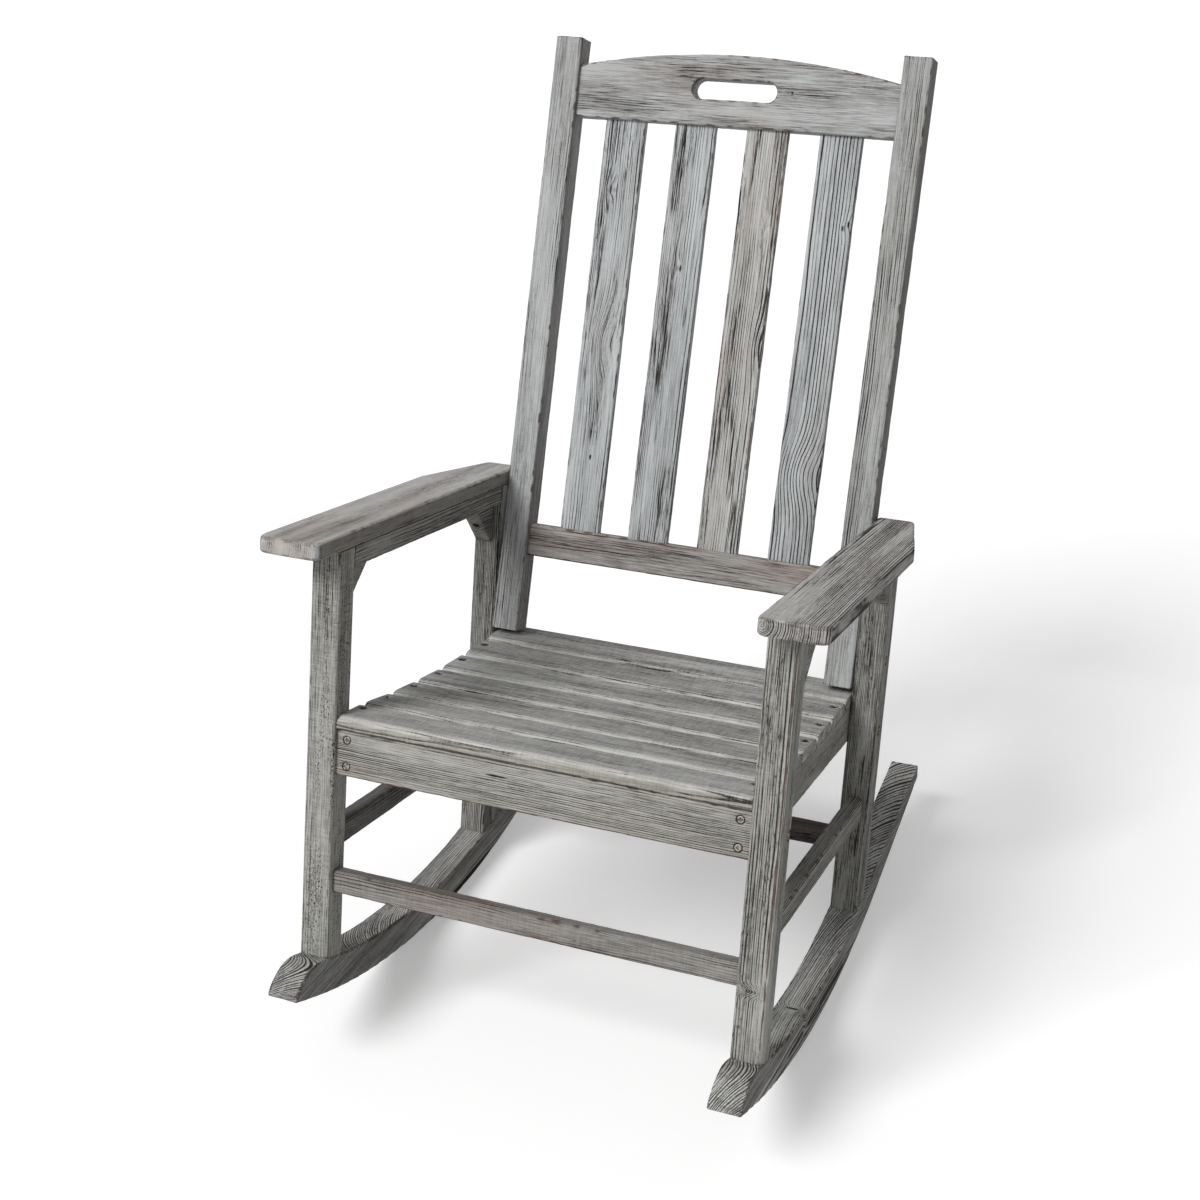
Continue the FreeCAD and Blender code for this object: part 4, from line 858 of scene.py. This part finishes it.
class BoardWash:
    """Material of one board, made from the workshop's groups."""

    shadow_reach = 0.003

    def __init__(self, workshop: Workshop, board: Board) -> None:
        """Starts the material and lays the board's own directions.

        Args:
            workshop: Keeper of the shared groups.
            board: The board.
        """
        self.shop, self.board, self.seed = workshop, board, board.seed()
        self.axes = board.axes()
        self.center, self.half = board.middle_and_half()
        self.material, self.graph, self.shader = new_material(f"wash_{board.node}")
        source = self.graph.node("ShaderNodeTexCoord").outputs
        self.normal = source["Normal"]
        self.place = self.graph.add("ShaderNodeMapping", {
            "Vector": source["Object"], "Location": self.center, "Rotation": self.axes.to_euler()},
            vector_type="TEXTURE")

    def marks(self) -> object:
        """Painted shadow rings of all fasteners in the board.

        Returns:
            The mask, or zero for a board without fasteners.
        """
        marks: object = 0.0
        for spot, radius in self.shop.spots:
            local = self.axes.transposed() @ (spot - self.center)
            if all(abs(part) < size + self.shadow_reach for part, size in zip(local, self.half)):
                marks = self.graph.group(self.shop.marks, {
                    "Place": self.place, "Spot": local, "Radius": radius, "Others": marks})["Fastener Shadows"]
        return marks

    def knots(self) -> tuple[object, object]:
        """All knots in the board.

        Returns:
            The rings' swelling and the dark cores, both zero for a board without knots.
        """
        swell: object = 0.0
        core: object = 0.0
        for knot in self.board.knots:
            bend = self.graph.group(self.shop.knots, {
                "Place": self.place, "Spot": knot.place, "Shape": knot.shape, "Size": knot.size,
                "Bend": knot.bend, "Core Share": knot.core, "Swell": swell, "Others": core})
            swell, core = bend["Swell"], bend["Core"]
        return swell, core

    def depths(self) -> tuple[object, object]:
        """Pale and middle tones of the board, which may differ from face to face, mostly as painted shade or
        a painted highlight on faces that look one way.

        Returns:
            The two tones.
        """
        pale: object = self.board.finish.pale
        middle: object = self.board.finish.middle
        for face in self.board.faces:
            mask = self.graph.group(self.shop.facing, {
                "Normal": self.normal, "Way": self.axes @ Vector(face.way).normalized(),
                "Opposite": float(face.opposite)})["Mask"]
            pale = self.graph.blend(mask, pale, face.finish.pale)
            middle = self.graph.blend(mask, middle, face.finish.middle)
        return pale, middle

    def grain(self) -> Values:
        """Rings, cracks, knots and rubbed edges, and the painted shadow rings round fastener heads.

        Returns:
            Every mask that the wash lies over.
        """
        graph, finish = self.graph, self.board.finish
        common = {"Place": self.place, "Seed": self.seed}
        swell, core = self.knots()
        rings = graph.group(self.shop.rings, {
            **common, "Middle": (0.0, *self.board.middle), "Ring Width": finish.ring_width,
            "Ring Line": finish.ring_line, "Wander": finish.wander, "Swell": swell})
        fibres = graph.group(self.shop.fibres, {
            **common, "Distance": rings.pop("Distance"), "Crack Run": finish.crack_run,
            "Pore Run": finish.pore_run})
        reach = graph.node("ShaderNodeAttribute", attribute_name=REACH).outputs["Fac"]
        edges = graph.group(self.shop.edges, {
            **common, "Half Size": self.half, "Reach": reach, "Width": finish.edge_width})
        return {**rings, **fibres, **edges, "Core": core, "Fastener Shadows": self.marks()}

    def build(self) -> bpy.types.Material:
        """Lays the wash over the grain.

        Returns:
            The material.
        """
        graph, finish = self.graph, self.board.finish
        pale, middle = self.depths()
        wash = graph.group(self.shop.wash, {
            **self.grain(), **{f"{name.title()} Share": getattr(finish, name) for name in SHARES},
            "Wear": finish.wear, "Roughness": finish.roughness, "Pale": pale, "Middle": middle,
            "Dark": finish.dark, "Warm": finish.warm, "Edge Color": finish.edge_color})
        color = wash["Color"]
        for stripe in self.board.stripes:
            line = graph.group(self.shop.line, {
                "Place": self.place, "Half Size": self.half, "Way": stripe.way, "Inset": stripe.inset,
                "Width": stripe.width / 2, "Seed": self.seed})["Line"]
            color = graph.blend(line, color, stripe.color)
        graph.feed(self.shader, {
            "Base Color": color, "Roughness": wash["Roughness"], "Specular IOR Level": finish.gloss,
            "Normal": graph.bump(wash["Height"], finish.relief)})
        return self.material


@dataclass
class WornBoard:
    """A board's mesh with rubbed edges and faces that are no longer flat."""

    board: Board
    rows: Triple = (0.0065, 0.0042, 0.0042)
    rub: float = 0.0008
    rub_reach: float = 0.0055
    rub_least: float = 0.12
    rub_quick: float = 0.6
    waves: float = 0.0002
    wave_grain: Triple = (18.0, 45.0, 45.0)
    slow_grain: Triple = (22.0, 20.0, 20.0)
    quick_grain: Triple = (110.0, 60.0, 60.0)
    noise_shift: Pair = (3.0, 5.0)
    sharp: float = math.radians(32.0)
    turn: float = math.radians(8.0)
    flat: float = math.radians(0.4)
    tight: float = 0.005
    arris_step: float = 0.002
    weld: float = 1e-6

    def packed(self) -> bmesh.types.BMesh:
        """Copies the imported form.

        Returns:
            The form, with each flat face in one piece.
        """
        mesh = bmesh.new()
        mesh.from_mesh(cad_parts[self.board.node].data)
        bmesh.ops.remove_doubles(mesh, verts=mesh.verts, dist=self.weld)
        bmesh.ops.dissolve_limit(mesh, angle_limit=self.flat, verts=mesh.verts, edges=mesh.edges,
                                 use_dissolve_boundaries=False)
        return mesh

    def arrises(self, mesh: bmesh.types.BMesh) -> KDTree:
        """Places along every sharp or tightly rounded edge.

        Args:
            mesh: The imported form.

        Returns:
            The places, ready to be searched.
        """
        spots: list[Vector] = []
        for edge in mesh.edges:
            angle = edge.calc_face_angle(0.0)
            length = max(edge.calc_length(), self.weld)
            width = max(face.calc_area() for face in edge.link_faces) / length
            if angle > self.sharp or (angle > self.turn and width / angle < self.tight):
                start, end = (vertex.co for vertex in edge.verts)
                count = max(1, round(length / self.arris_step))
                spots += [start.lerp(end, number / count) for number in range(count + 1)]
        tree = KDTree(len(spots))
        for number, spot in enumerate(spots):
            tree.insert(spot, number)
        tree.balance()
        return tree

    def slice_up(self, mesh: bmesh.types.BMesh) -> None:
        """Cuts a form into small faces along the board's own directions.

        Args:
            mesh: The form.
        """
        axes = self.board.axes()
        center, half = self.board.middle_and_half()
        for part in (1, 2, 0):
            way = axes.col[part]
            count = max(2, round(2.0 * half[part] / self.rows[part]))
            for number in range(1, count):
                spot = center + way * (2.0 * number / count - 1.0) * half[part]
                bmesh.ops.bisect_plane(mesh, geom=[*mesh.verts, *mesh.edges, *mesh.faces], dist=self.weld,
                                       plane_co=spot, plane_no=way)

    def noise(self, local: Vector, grain: Triple, seed: Vector) -> float:
        """Noise at a place in the board, by its repeats in a metre."""
        return noise.noise(Vector(part * repeats for part, repeats in zip(local, grain)) + seed)

    def depth(self, local: Vector, reach: float, seed: Vector) -> float:
        """How far the surface has gone back at a place.

        Args:
            local: The place in the board's own directions.
            reach: Its distance from the nearest arris.
            seed: Shift of the noise.

        Returns:
            The depth.
        """
        depth = self.waves * (0.5 + 0.5 * self.noise(local, self.wave_grain, seed))
        near = 1.0 - reach / self.rub_reach
        if near > 0.0:
            slow = self.noise(local, self.slow_grain, seed)
            quick = self.noise(local, self.quick_grain, -seed)
            depth += self.rub * near * near * max(0.0, self.rub_least + slow + self.rub_quick * quick)
        return depth

    def build(self) -> bpy.types.Object:
        """Makes the worn piece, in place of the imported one.

        Returns:
            The piece.
        """
        center, _ = self.board.middle_and_half()
        inverse = self.board.axes().transposed()
        mesh = self.packed()
        tree = self.arrises(mesh)
        self.slice_up(mesh)
        mesh.normal_update()
        seed = Vector((self.board.seed(), *self.noise_shift))
        reaches = [tree.find(vertex.co)[2] for vertex in mesh.verts]
        moves = [vertex.normal * self.depth(inverse @ (vertex.co - center), reach, seed)
                 for vertex, reach in zip(mesh.verts, reaches)]
        for vertex, move in zip(mesh.verts, moves):
            vertex.co -= move
        name = f"worn_{self.board.node}"
        data = bpy.data.meshes.new(name)
        mesh.to_mesh(data)
        mesh.free()
        data.attributes.new(REACH, "FLOAT", "POINT").data.foreach_set("value", reaches)
        data.polygons.foreach_set("use_smooth", [True] * len(data.polygons))
        data.set_sharp_from_angle(angle=self.sharp)
        piece = bpy.data.objects.new(name, data)
        bpy.context.scene.collection.objects.link(piece)
        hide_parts(self.board.node)
        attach(piece, BODY)
        return piece


def lie_of(node: str) -> float:
    """Finds how a long board lies.

    Args:
        node: The board's node.

    Returns:
        The tilt about X at which the board's section is thinnest.
    """
    least, steps, finest, digits = -15.0, 180, 0.25, 5
    spots = (vertex.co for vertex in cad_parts[node].data.vertices)
    places = {(round(spot.y, digits), round(spot.z, digits)) for spot in spots}
    best = (math.inf, LEAN)
    for number in range(steps + 1):
        tilt = math.radians(least + number * finest)
        heights = [y * math.sin(tilt) + z * math.cos(tilt) for y, z in places]
        best = min(best, (max(heights) - min(heights), tilt))
    return best[1]


@dataclass
class SubAssembly:
    """Boards that are made and dressed together."""

    pieces: dict[str, bpy.types.Object] = field(default_factory=dict, init=False)

    def boards(self) -> list[Board]:
        """Every board of this sub-assembly with its grain and finish."""
        raise NotImplementedError

    def build(self) -> None:
        """Makes the worn form of every board."""
        for board in self.boards():
            self.pieces[board.node] = WornBoard(board).build()

    def dress(self, workshop: Workshop) -> None:
        """Gives every board its finish.

        Args:
            workshop: Keeper of the shared groups.
        """
        for board in self.boards():
            data = self.pieces[board.node].data
            data.materials.append(BoardWash(workshop, board).build())
            log.info("%s: %d faces, washed wood", board.node, len(data.polygons))


@dataclass
class Rockers(SubAssembly):
    """The two sawn rockers, whose rings show as arcs on their tops."""

    left_pith: Pair = (-0.04, -0.06)
    left_tilt: float = math.radians(1.0)
    right_pith: Pair = (-0.045, -0.065)
    knot: Knot = Knot((-0.1706, -0.0022, -0.0413), 0.006, shape=(1.4, 0.45, 0.5))

    def boards(self) -> list[Board]:
        """Rockers.

        Returns:
            Both rockers, with painted shade on their sides.
        """
        sides = (Face((0.0, 1.0, 0.0), ROCKER_SHADED_SIDE),)
        return [
            Board("rocker_left", Grain.DEEP, ROCKER, self.left_tilt, self.left_pith, faces=sides),
            Board("rocker_right", Grain.DEEP, FLOWING_ROCKER, middle=self.right_pith, knots=(self.knot,),
                  faces=sides),
        ]


@dataclass
class Legs(SubAssembly):
    """Front and rear legs."""

    front_pith: Pair = (0.05, 0.055)
    rear_pith: Pair = (0.05, -0.06)
    stripe: Stripe = Stripe((0.0, 1.0, 0.0), inset=0.0035, width=0.0014, color=tone(84, 58, 51))
    knot: Knot = Knot((-0.164, -0.001, -0.018), 0.006, core=0.35, shape=(1.6, 0.5, 0.5))

    def boards(self) -> list[Board]:
        """Legs.

        Returns:
            The four legs, with a bare line down the right front one and painted shade on the rear ones.
        """
        across, through = self.front_pith
        return [
            Board("front_leg_left", Grain.UP, DOTTED_LEG, middle=(-across, through)),
            Board("front_leg_right", Grain.UP, LEG, middle=self.front_pith, knots=(self.knot,),
                  stripes=(self.stripe,)),
            *(Board(f"rear_leg_{side}", Grain.UP, SHADED_REAR_LEG, middle=self.rear_pith) for side in SIDES),
        ]


@dataclass
class Arms(SubAssembly):
    """Arms, the rails under them and the corner blocks."""

    pith: Pair = (0.034, 0.003)
    rail_pith: Pair = (0.02, 0.04)

    def boards(self) -> list[Board]:
        """Arms.

        Returns:
            Arms, arm rails and corner blocks of both sides, with painted shade on the arms' sides.
        """
        made = []
        finishes = ((PALE_ARM, PALE_ARM_SHADED_SIDE, PALE_ARM), (ARM, ARM_SHADED_SIDE, ARM_END))
        for side, (top, edge, end) in zip(SIDES, finishes):
            # The arms' sides take painted shade; the right arm's front end is darker.
            faces = (Face((0.0, 1.0, 0.0), edge), Face((-1.0, 0.0, 0.0), end, opposite=False))
            made += [
                Board(f"arm_{side}", Grain.DEEP, top, middle=self.pith, faces=faces),
                Board(f"arm_rail_{side}", Grain.DEEP, RAIL, middle=self.rail_pith),
                Board(f"front_block_{side}", Grain.DEEP, RAIL),
                Board(f"rear_block_{side}", Grain.DEEP, RAIL),
            ]
        return made


@dataclass
class SeatFrame(SubAssembly):
    """Apron and rails that carry the seat."""

    apron_pith: Pair = (0.01, 0.07)
    slit: Knot = Knot((-0.05, -0.009, 0.0098), 0.0034, bend=0.5, shape=(0.15, 0.3, 1.5))
    rail_pith: Pair = (0.02, 0.06)

    def boards(self) -> list[Board]:
        """Seat frame.

        Returns:
            Apron, side rails and rear rail.
        """
        return [
            Board("front_apron", Grain.ACROSS, APRON, middle=self.apron_pith, knots=(self.slit,),
                  stripes=(UNDER,)),
            *(Board(f"seat_side_rail_{side}", Grain.DEEP, RAIL, middle=self.rail_pith) for side in SIDES),
            Board("rear_seat_rail", Grain.ACROSS, RAIL),
        ]


@dataclass
class Seat(SubAssembly):
    """Seven slats that follow the seat's dip."""

    count: int = 7
    pith: Pair = (0.05, -0.03)
    pith_step: float = 0.004

    def boards(self) -> list[Board]:
        """Seat.

        Returns:
            The slats from front to rear, with a painted highlight on their noses; the first one shows its
            front face, in painted shade.
        """
        across, through = self.pith
        nose = Face((0.0, -1.0, 1.0), SEAT_LIT_NOSE, opposite=False)
        made = []
        for number in range(1, self.count + 1):
            node = f"seat_slat_{number}"
            middle = (across + self.pith_step * number, through)
            made.append(Board(node, Grain.ACROSS, SEAT, lie_of(node), middle, faces=(nose,)))
        front = Face((0.0, -1.0, 0.0), SEAT_SHADED_FRONT, opposite=False)
        # The first slat gets a painted shadow along its lower seam over the apron, and painted shade on its
        # front.
        made[0] = replace(made[0], finish=FIRST_SEAT, stripes=(SEAM_SHADOW,), faces=(nose, front))
        return made


@dataclass
class Stretchers(SubAssembly):
    """Stretchers between the legs."""

    pith: Pair = (0.03, 0.03)

    def boards(self) -> list[Board]:
        """Stretchers.

        Returns:
            Front, rear and side stretchers.
        """
        return [
            Board("front_stretcher", Grain.ACROSS, STRETCHER, middle=self.pith, stripes=(UNDER,)),
            Board("rear_stretcher", Grain.ACROSS, DARK_RAIL),
            Board("side_stretcher_left", Grain.DEEP, SHADED_RAIL, middle=self.pith),
            Board("side_stretcher_right", Grain.DEEP, RAIL, middle=self.pith),
        ]


@dataclass
class Back(SubAssembly):
    """Posts, rails and slats of the back, each slat sawn another way."""

    post_pith: Pair = (0.06, 0.05)
    crest_pith: Pair = (0.03, 0.08)
    rail_pith: Pair = (0.03, 0.05)
    crest_knot: Knot = Knot((0.08, -0.0125, 0.0034), 0.0022, shape=(0.8, 0.3, 1.0))
    slat_face: float = -0.006

    def slat(self, number: int, finish: WashedFinish, middle: Pair, *knots: Knot) -> Board:
        """One slat of the back."""
        return Board(f"back_slat_{number}", Grain.UP, finish, BACK_LEAN, middle, knots)

    def knot(self, along: float, across: float, size: float, **form: object) -> Knot:
        """A knot in the front face of a slat."""
        return Knot((along, across, self.slat_face), size, **form)

    def boards(self) -> list[Board]:
        """Back.

        Returns:
            Posts, crest, lower rail and the four slats from left to right; the posts carry painted shade on
            their sides.
        """
        across, through = self.post_pith
        # The posts' sides take painted shade.
        left = Face((0.0, 1.0, 0.0), POST_SHADED_SIDE)
        right = Face((0.0, 1.0, 0.0), DULL_POST_SHADED_SIDE)
        return [
            Board("back_post_left", Grain.UP, POST, BACK_LEAN, (-across, through), faces=(left,)),
            Board("back_post_right", Grain.UP, DULL_POST, BACK_LEAN, self.post_pith, faces=(right,)),
            Board("crest_rail", Grain.ACROSS, CREST, BACK_LEAN, self.crest_pith, (self.crest_knot,)),
            Board("lower_back_rail", Grain.ACROSS, LOWER_RAIL, BACK_LEAN, self.rail_pith, stripes=(UNDER,)),
            self.slat(1, SLAT, (-0.045, 0.03), self.knot(0.189, -0.011, 0.004, core=0.4),
                      self.knot(-0.02, 0.003, 0.01, core=0.0, bend=1.1), self.knot(-0.18, 0.004, 0.0024)),
            self.slat(2, DULL_SLAT, (0.045, 0.03), self.knot(0.0915, 0.002, 0.003, core=0.8)),
            self.slat(3, RED_SLAT, (-0.05, 0.03), self.knot(-0.002, 0.022, 0.008, core=0.0, bend=0.8)),
            self.slat(4, STRIPED_SLAT, (-0.05, 0.02), self.knot(0.1644, 0.0173, 0.0022, core=0.9),
                      self.knot(0.1703, 0.0246, 0.0026),
                      self.knot(-0.165, 0.004, 0.014, core=0.0, bend=1.0, shape=(0.55, 0.7, 0.5))),
        ]


@dataclass
class Fasteners:
    """Screws and bolts, which keep their packed forms."""

    kinds: tuple[tuple[MetalFinish, tuple[str, ...]], ...] = (
        (LIGHT_SCREW, ("apron_screws",)),
        (DARK_SCREW, ("slat_screws", "block_screws")),
        (BRASS_BOLT, ("rail_bolts", "post_bolts")),
    )

    def dress(self, workshop: Workshop) -> None:
        """Gives every fastener its metal.

        Args:
            workshop: Keeper of the shared groups.
        """
        for finish, nodes in self.kinds:
            material = workshop.metal(finish)
            for node in nodes:
                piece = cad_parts[node]
                if not piece.material_slots:
                    piece.data.materials.append(material)
                for slot in piece.material_slots:
                    slot.material = material
                log.info("%s: %s", node, finish.name)


@dataclass
class Studio:
    """Camera, light and floor. Turns, heights and spreads are in degrees."""

    place: Triple = (0.759, -2.05911, 1.50523)
    turn: Triple = (67.0602, -0.1809, 21.3005)
    lens: float = 56.1606
    sensor: float = 36.0
    shift: Pair = (-0.00325, -0.04419)
    lamp_height: float = 42.0
    lamp_side: float = -28.0
    lamp_strength: float = 0.86
    lamp_spread: float = 25.0
    surroundings: float = 0.34
    floor_size: float = 120.0
    floor_drop: float = 0.0005
    floor_tone: Triple = (0.8, 0.8, 0.8)
    floor_roughness: float = 0.9
    floor_glow: float = 0.3
    white: Triple = (1.0, 1.0, 1.0)

    def put(self, name: str, data: bpy.types.ID, turn: Triple) -> bpy.types.Object:
        """Adds a camera or a lamp.

        Args:
            name: Its name.
            data: What it is.
            turn: Its turn in degrees.

        Returns:
            The new object.
        """
        made = bpy.data.objects.new(name, data)
        made.rotation_euler = Euler([math.radians(angle) for angle in turn])
        bpy.context.scene.collection.objects.link(made)
        return made

    def camera(self) -> None:
        """Camera at the photograph's viewing angle."""
        data = bpy.data.cameras.new("camera")
        data.lens = self.lens
        data.sensor_width = self.sensor
        data.shift_x, data.shift_y = self.shift
        made = self.put("camera", data, self.turn)
        made.location = self.place
        bpy.context.scene.camera = made

    def lamp(self) -> None:
        """Soft light from the left of the camera."""
        data = bpy.data.lights.new("key", "SUN")
        data.energy = self.lamp_strength * math.pi
        data.angle = math.radians(self.lamp_spread)
        self.put("key", data, (90.0 - self.lamp_height, 0.0, self.lamp_side))

    def world(self) -> None:
        """Even light from all round, with a white background to the eye."""
        world = bpy.data.worlds.new("studio")
        world.use_nodes = True
        graph = Graph(world.node_tree)
        background = world.node_tree.nodes["Background"].inputs
        rays = graph.node("ShaderNodeLightPath").outputs
        seen = graph.math("MAXIMUM", rays["Is Camera Ray"], rays["Is Glossy Ray"])
        seen = graph.math("MAXIMUM", seen, rays["Is Transmission Ray"])
        strength = graph.math("MULTIPLY_ADD", seen, 1.0 - self.surroundings, self.surroundings)
        graph.feed(background, {"Strength": strength, "Color": self.white})
        bpy.context.scene.world = world

    def floor(self) -> None:
        """Plain pale floor."""
        bpy.ops.mesh.primitive_plane_add(size=self.floor_size, location=(0.0, 0.0, -self.floor_drop))
        floor = bpy.context.object
        floor.name = "floor"
        material, graph, shader = new_material("pale_floor")
        seen = graph.node("ShaderNodeLightPath").outputs["Is Camera Ray"]
        graph.feed(shader, {
            "Base Color": self.floor_tone, "Roughness": self.floor_roughness, "Emission Color": self.white,
            "Emission Strength": graph.times(seen, self.floor_glow)})
        floor.data.materials.append(material)
        floor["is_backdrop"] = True

    def build(self) -> None:
        """Sets up the whole studio."""
        self.camera()
        self.world()
        self.lamp()
        self.floor()
        bpy.context.scene.view_settings.view_transform = "Standard"
        log.info("studio: camera, lamp and floor")


def main() -> None:
    """Makes and dresses the chair, and sets up the studio."""
    sizes: dict[str, list[list[float]]] = {}
    save_bounds("cad", sizes)
    workshop = Workshop()
    for assembly in (Rockers(), Legs(), Arms(), SeatFrame(), Seat(), Stretchers(), Back()):
        assembly.build()
        assembly.dress(workshop)
    Fasteners().dress(workshop)
    Studio().build()
    save_bounds("visual", sizes)


if __name__ == "__main__":
    main()
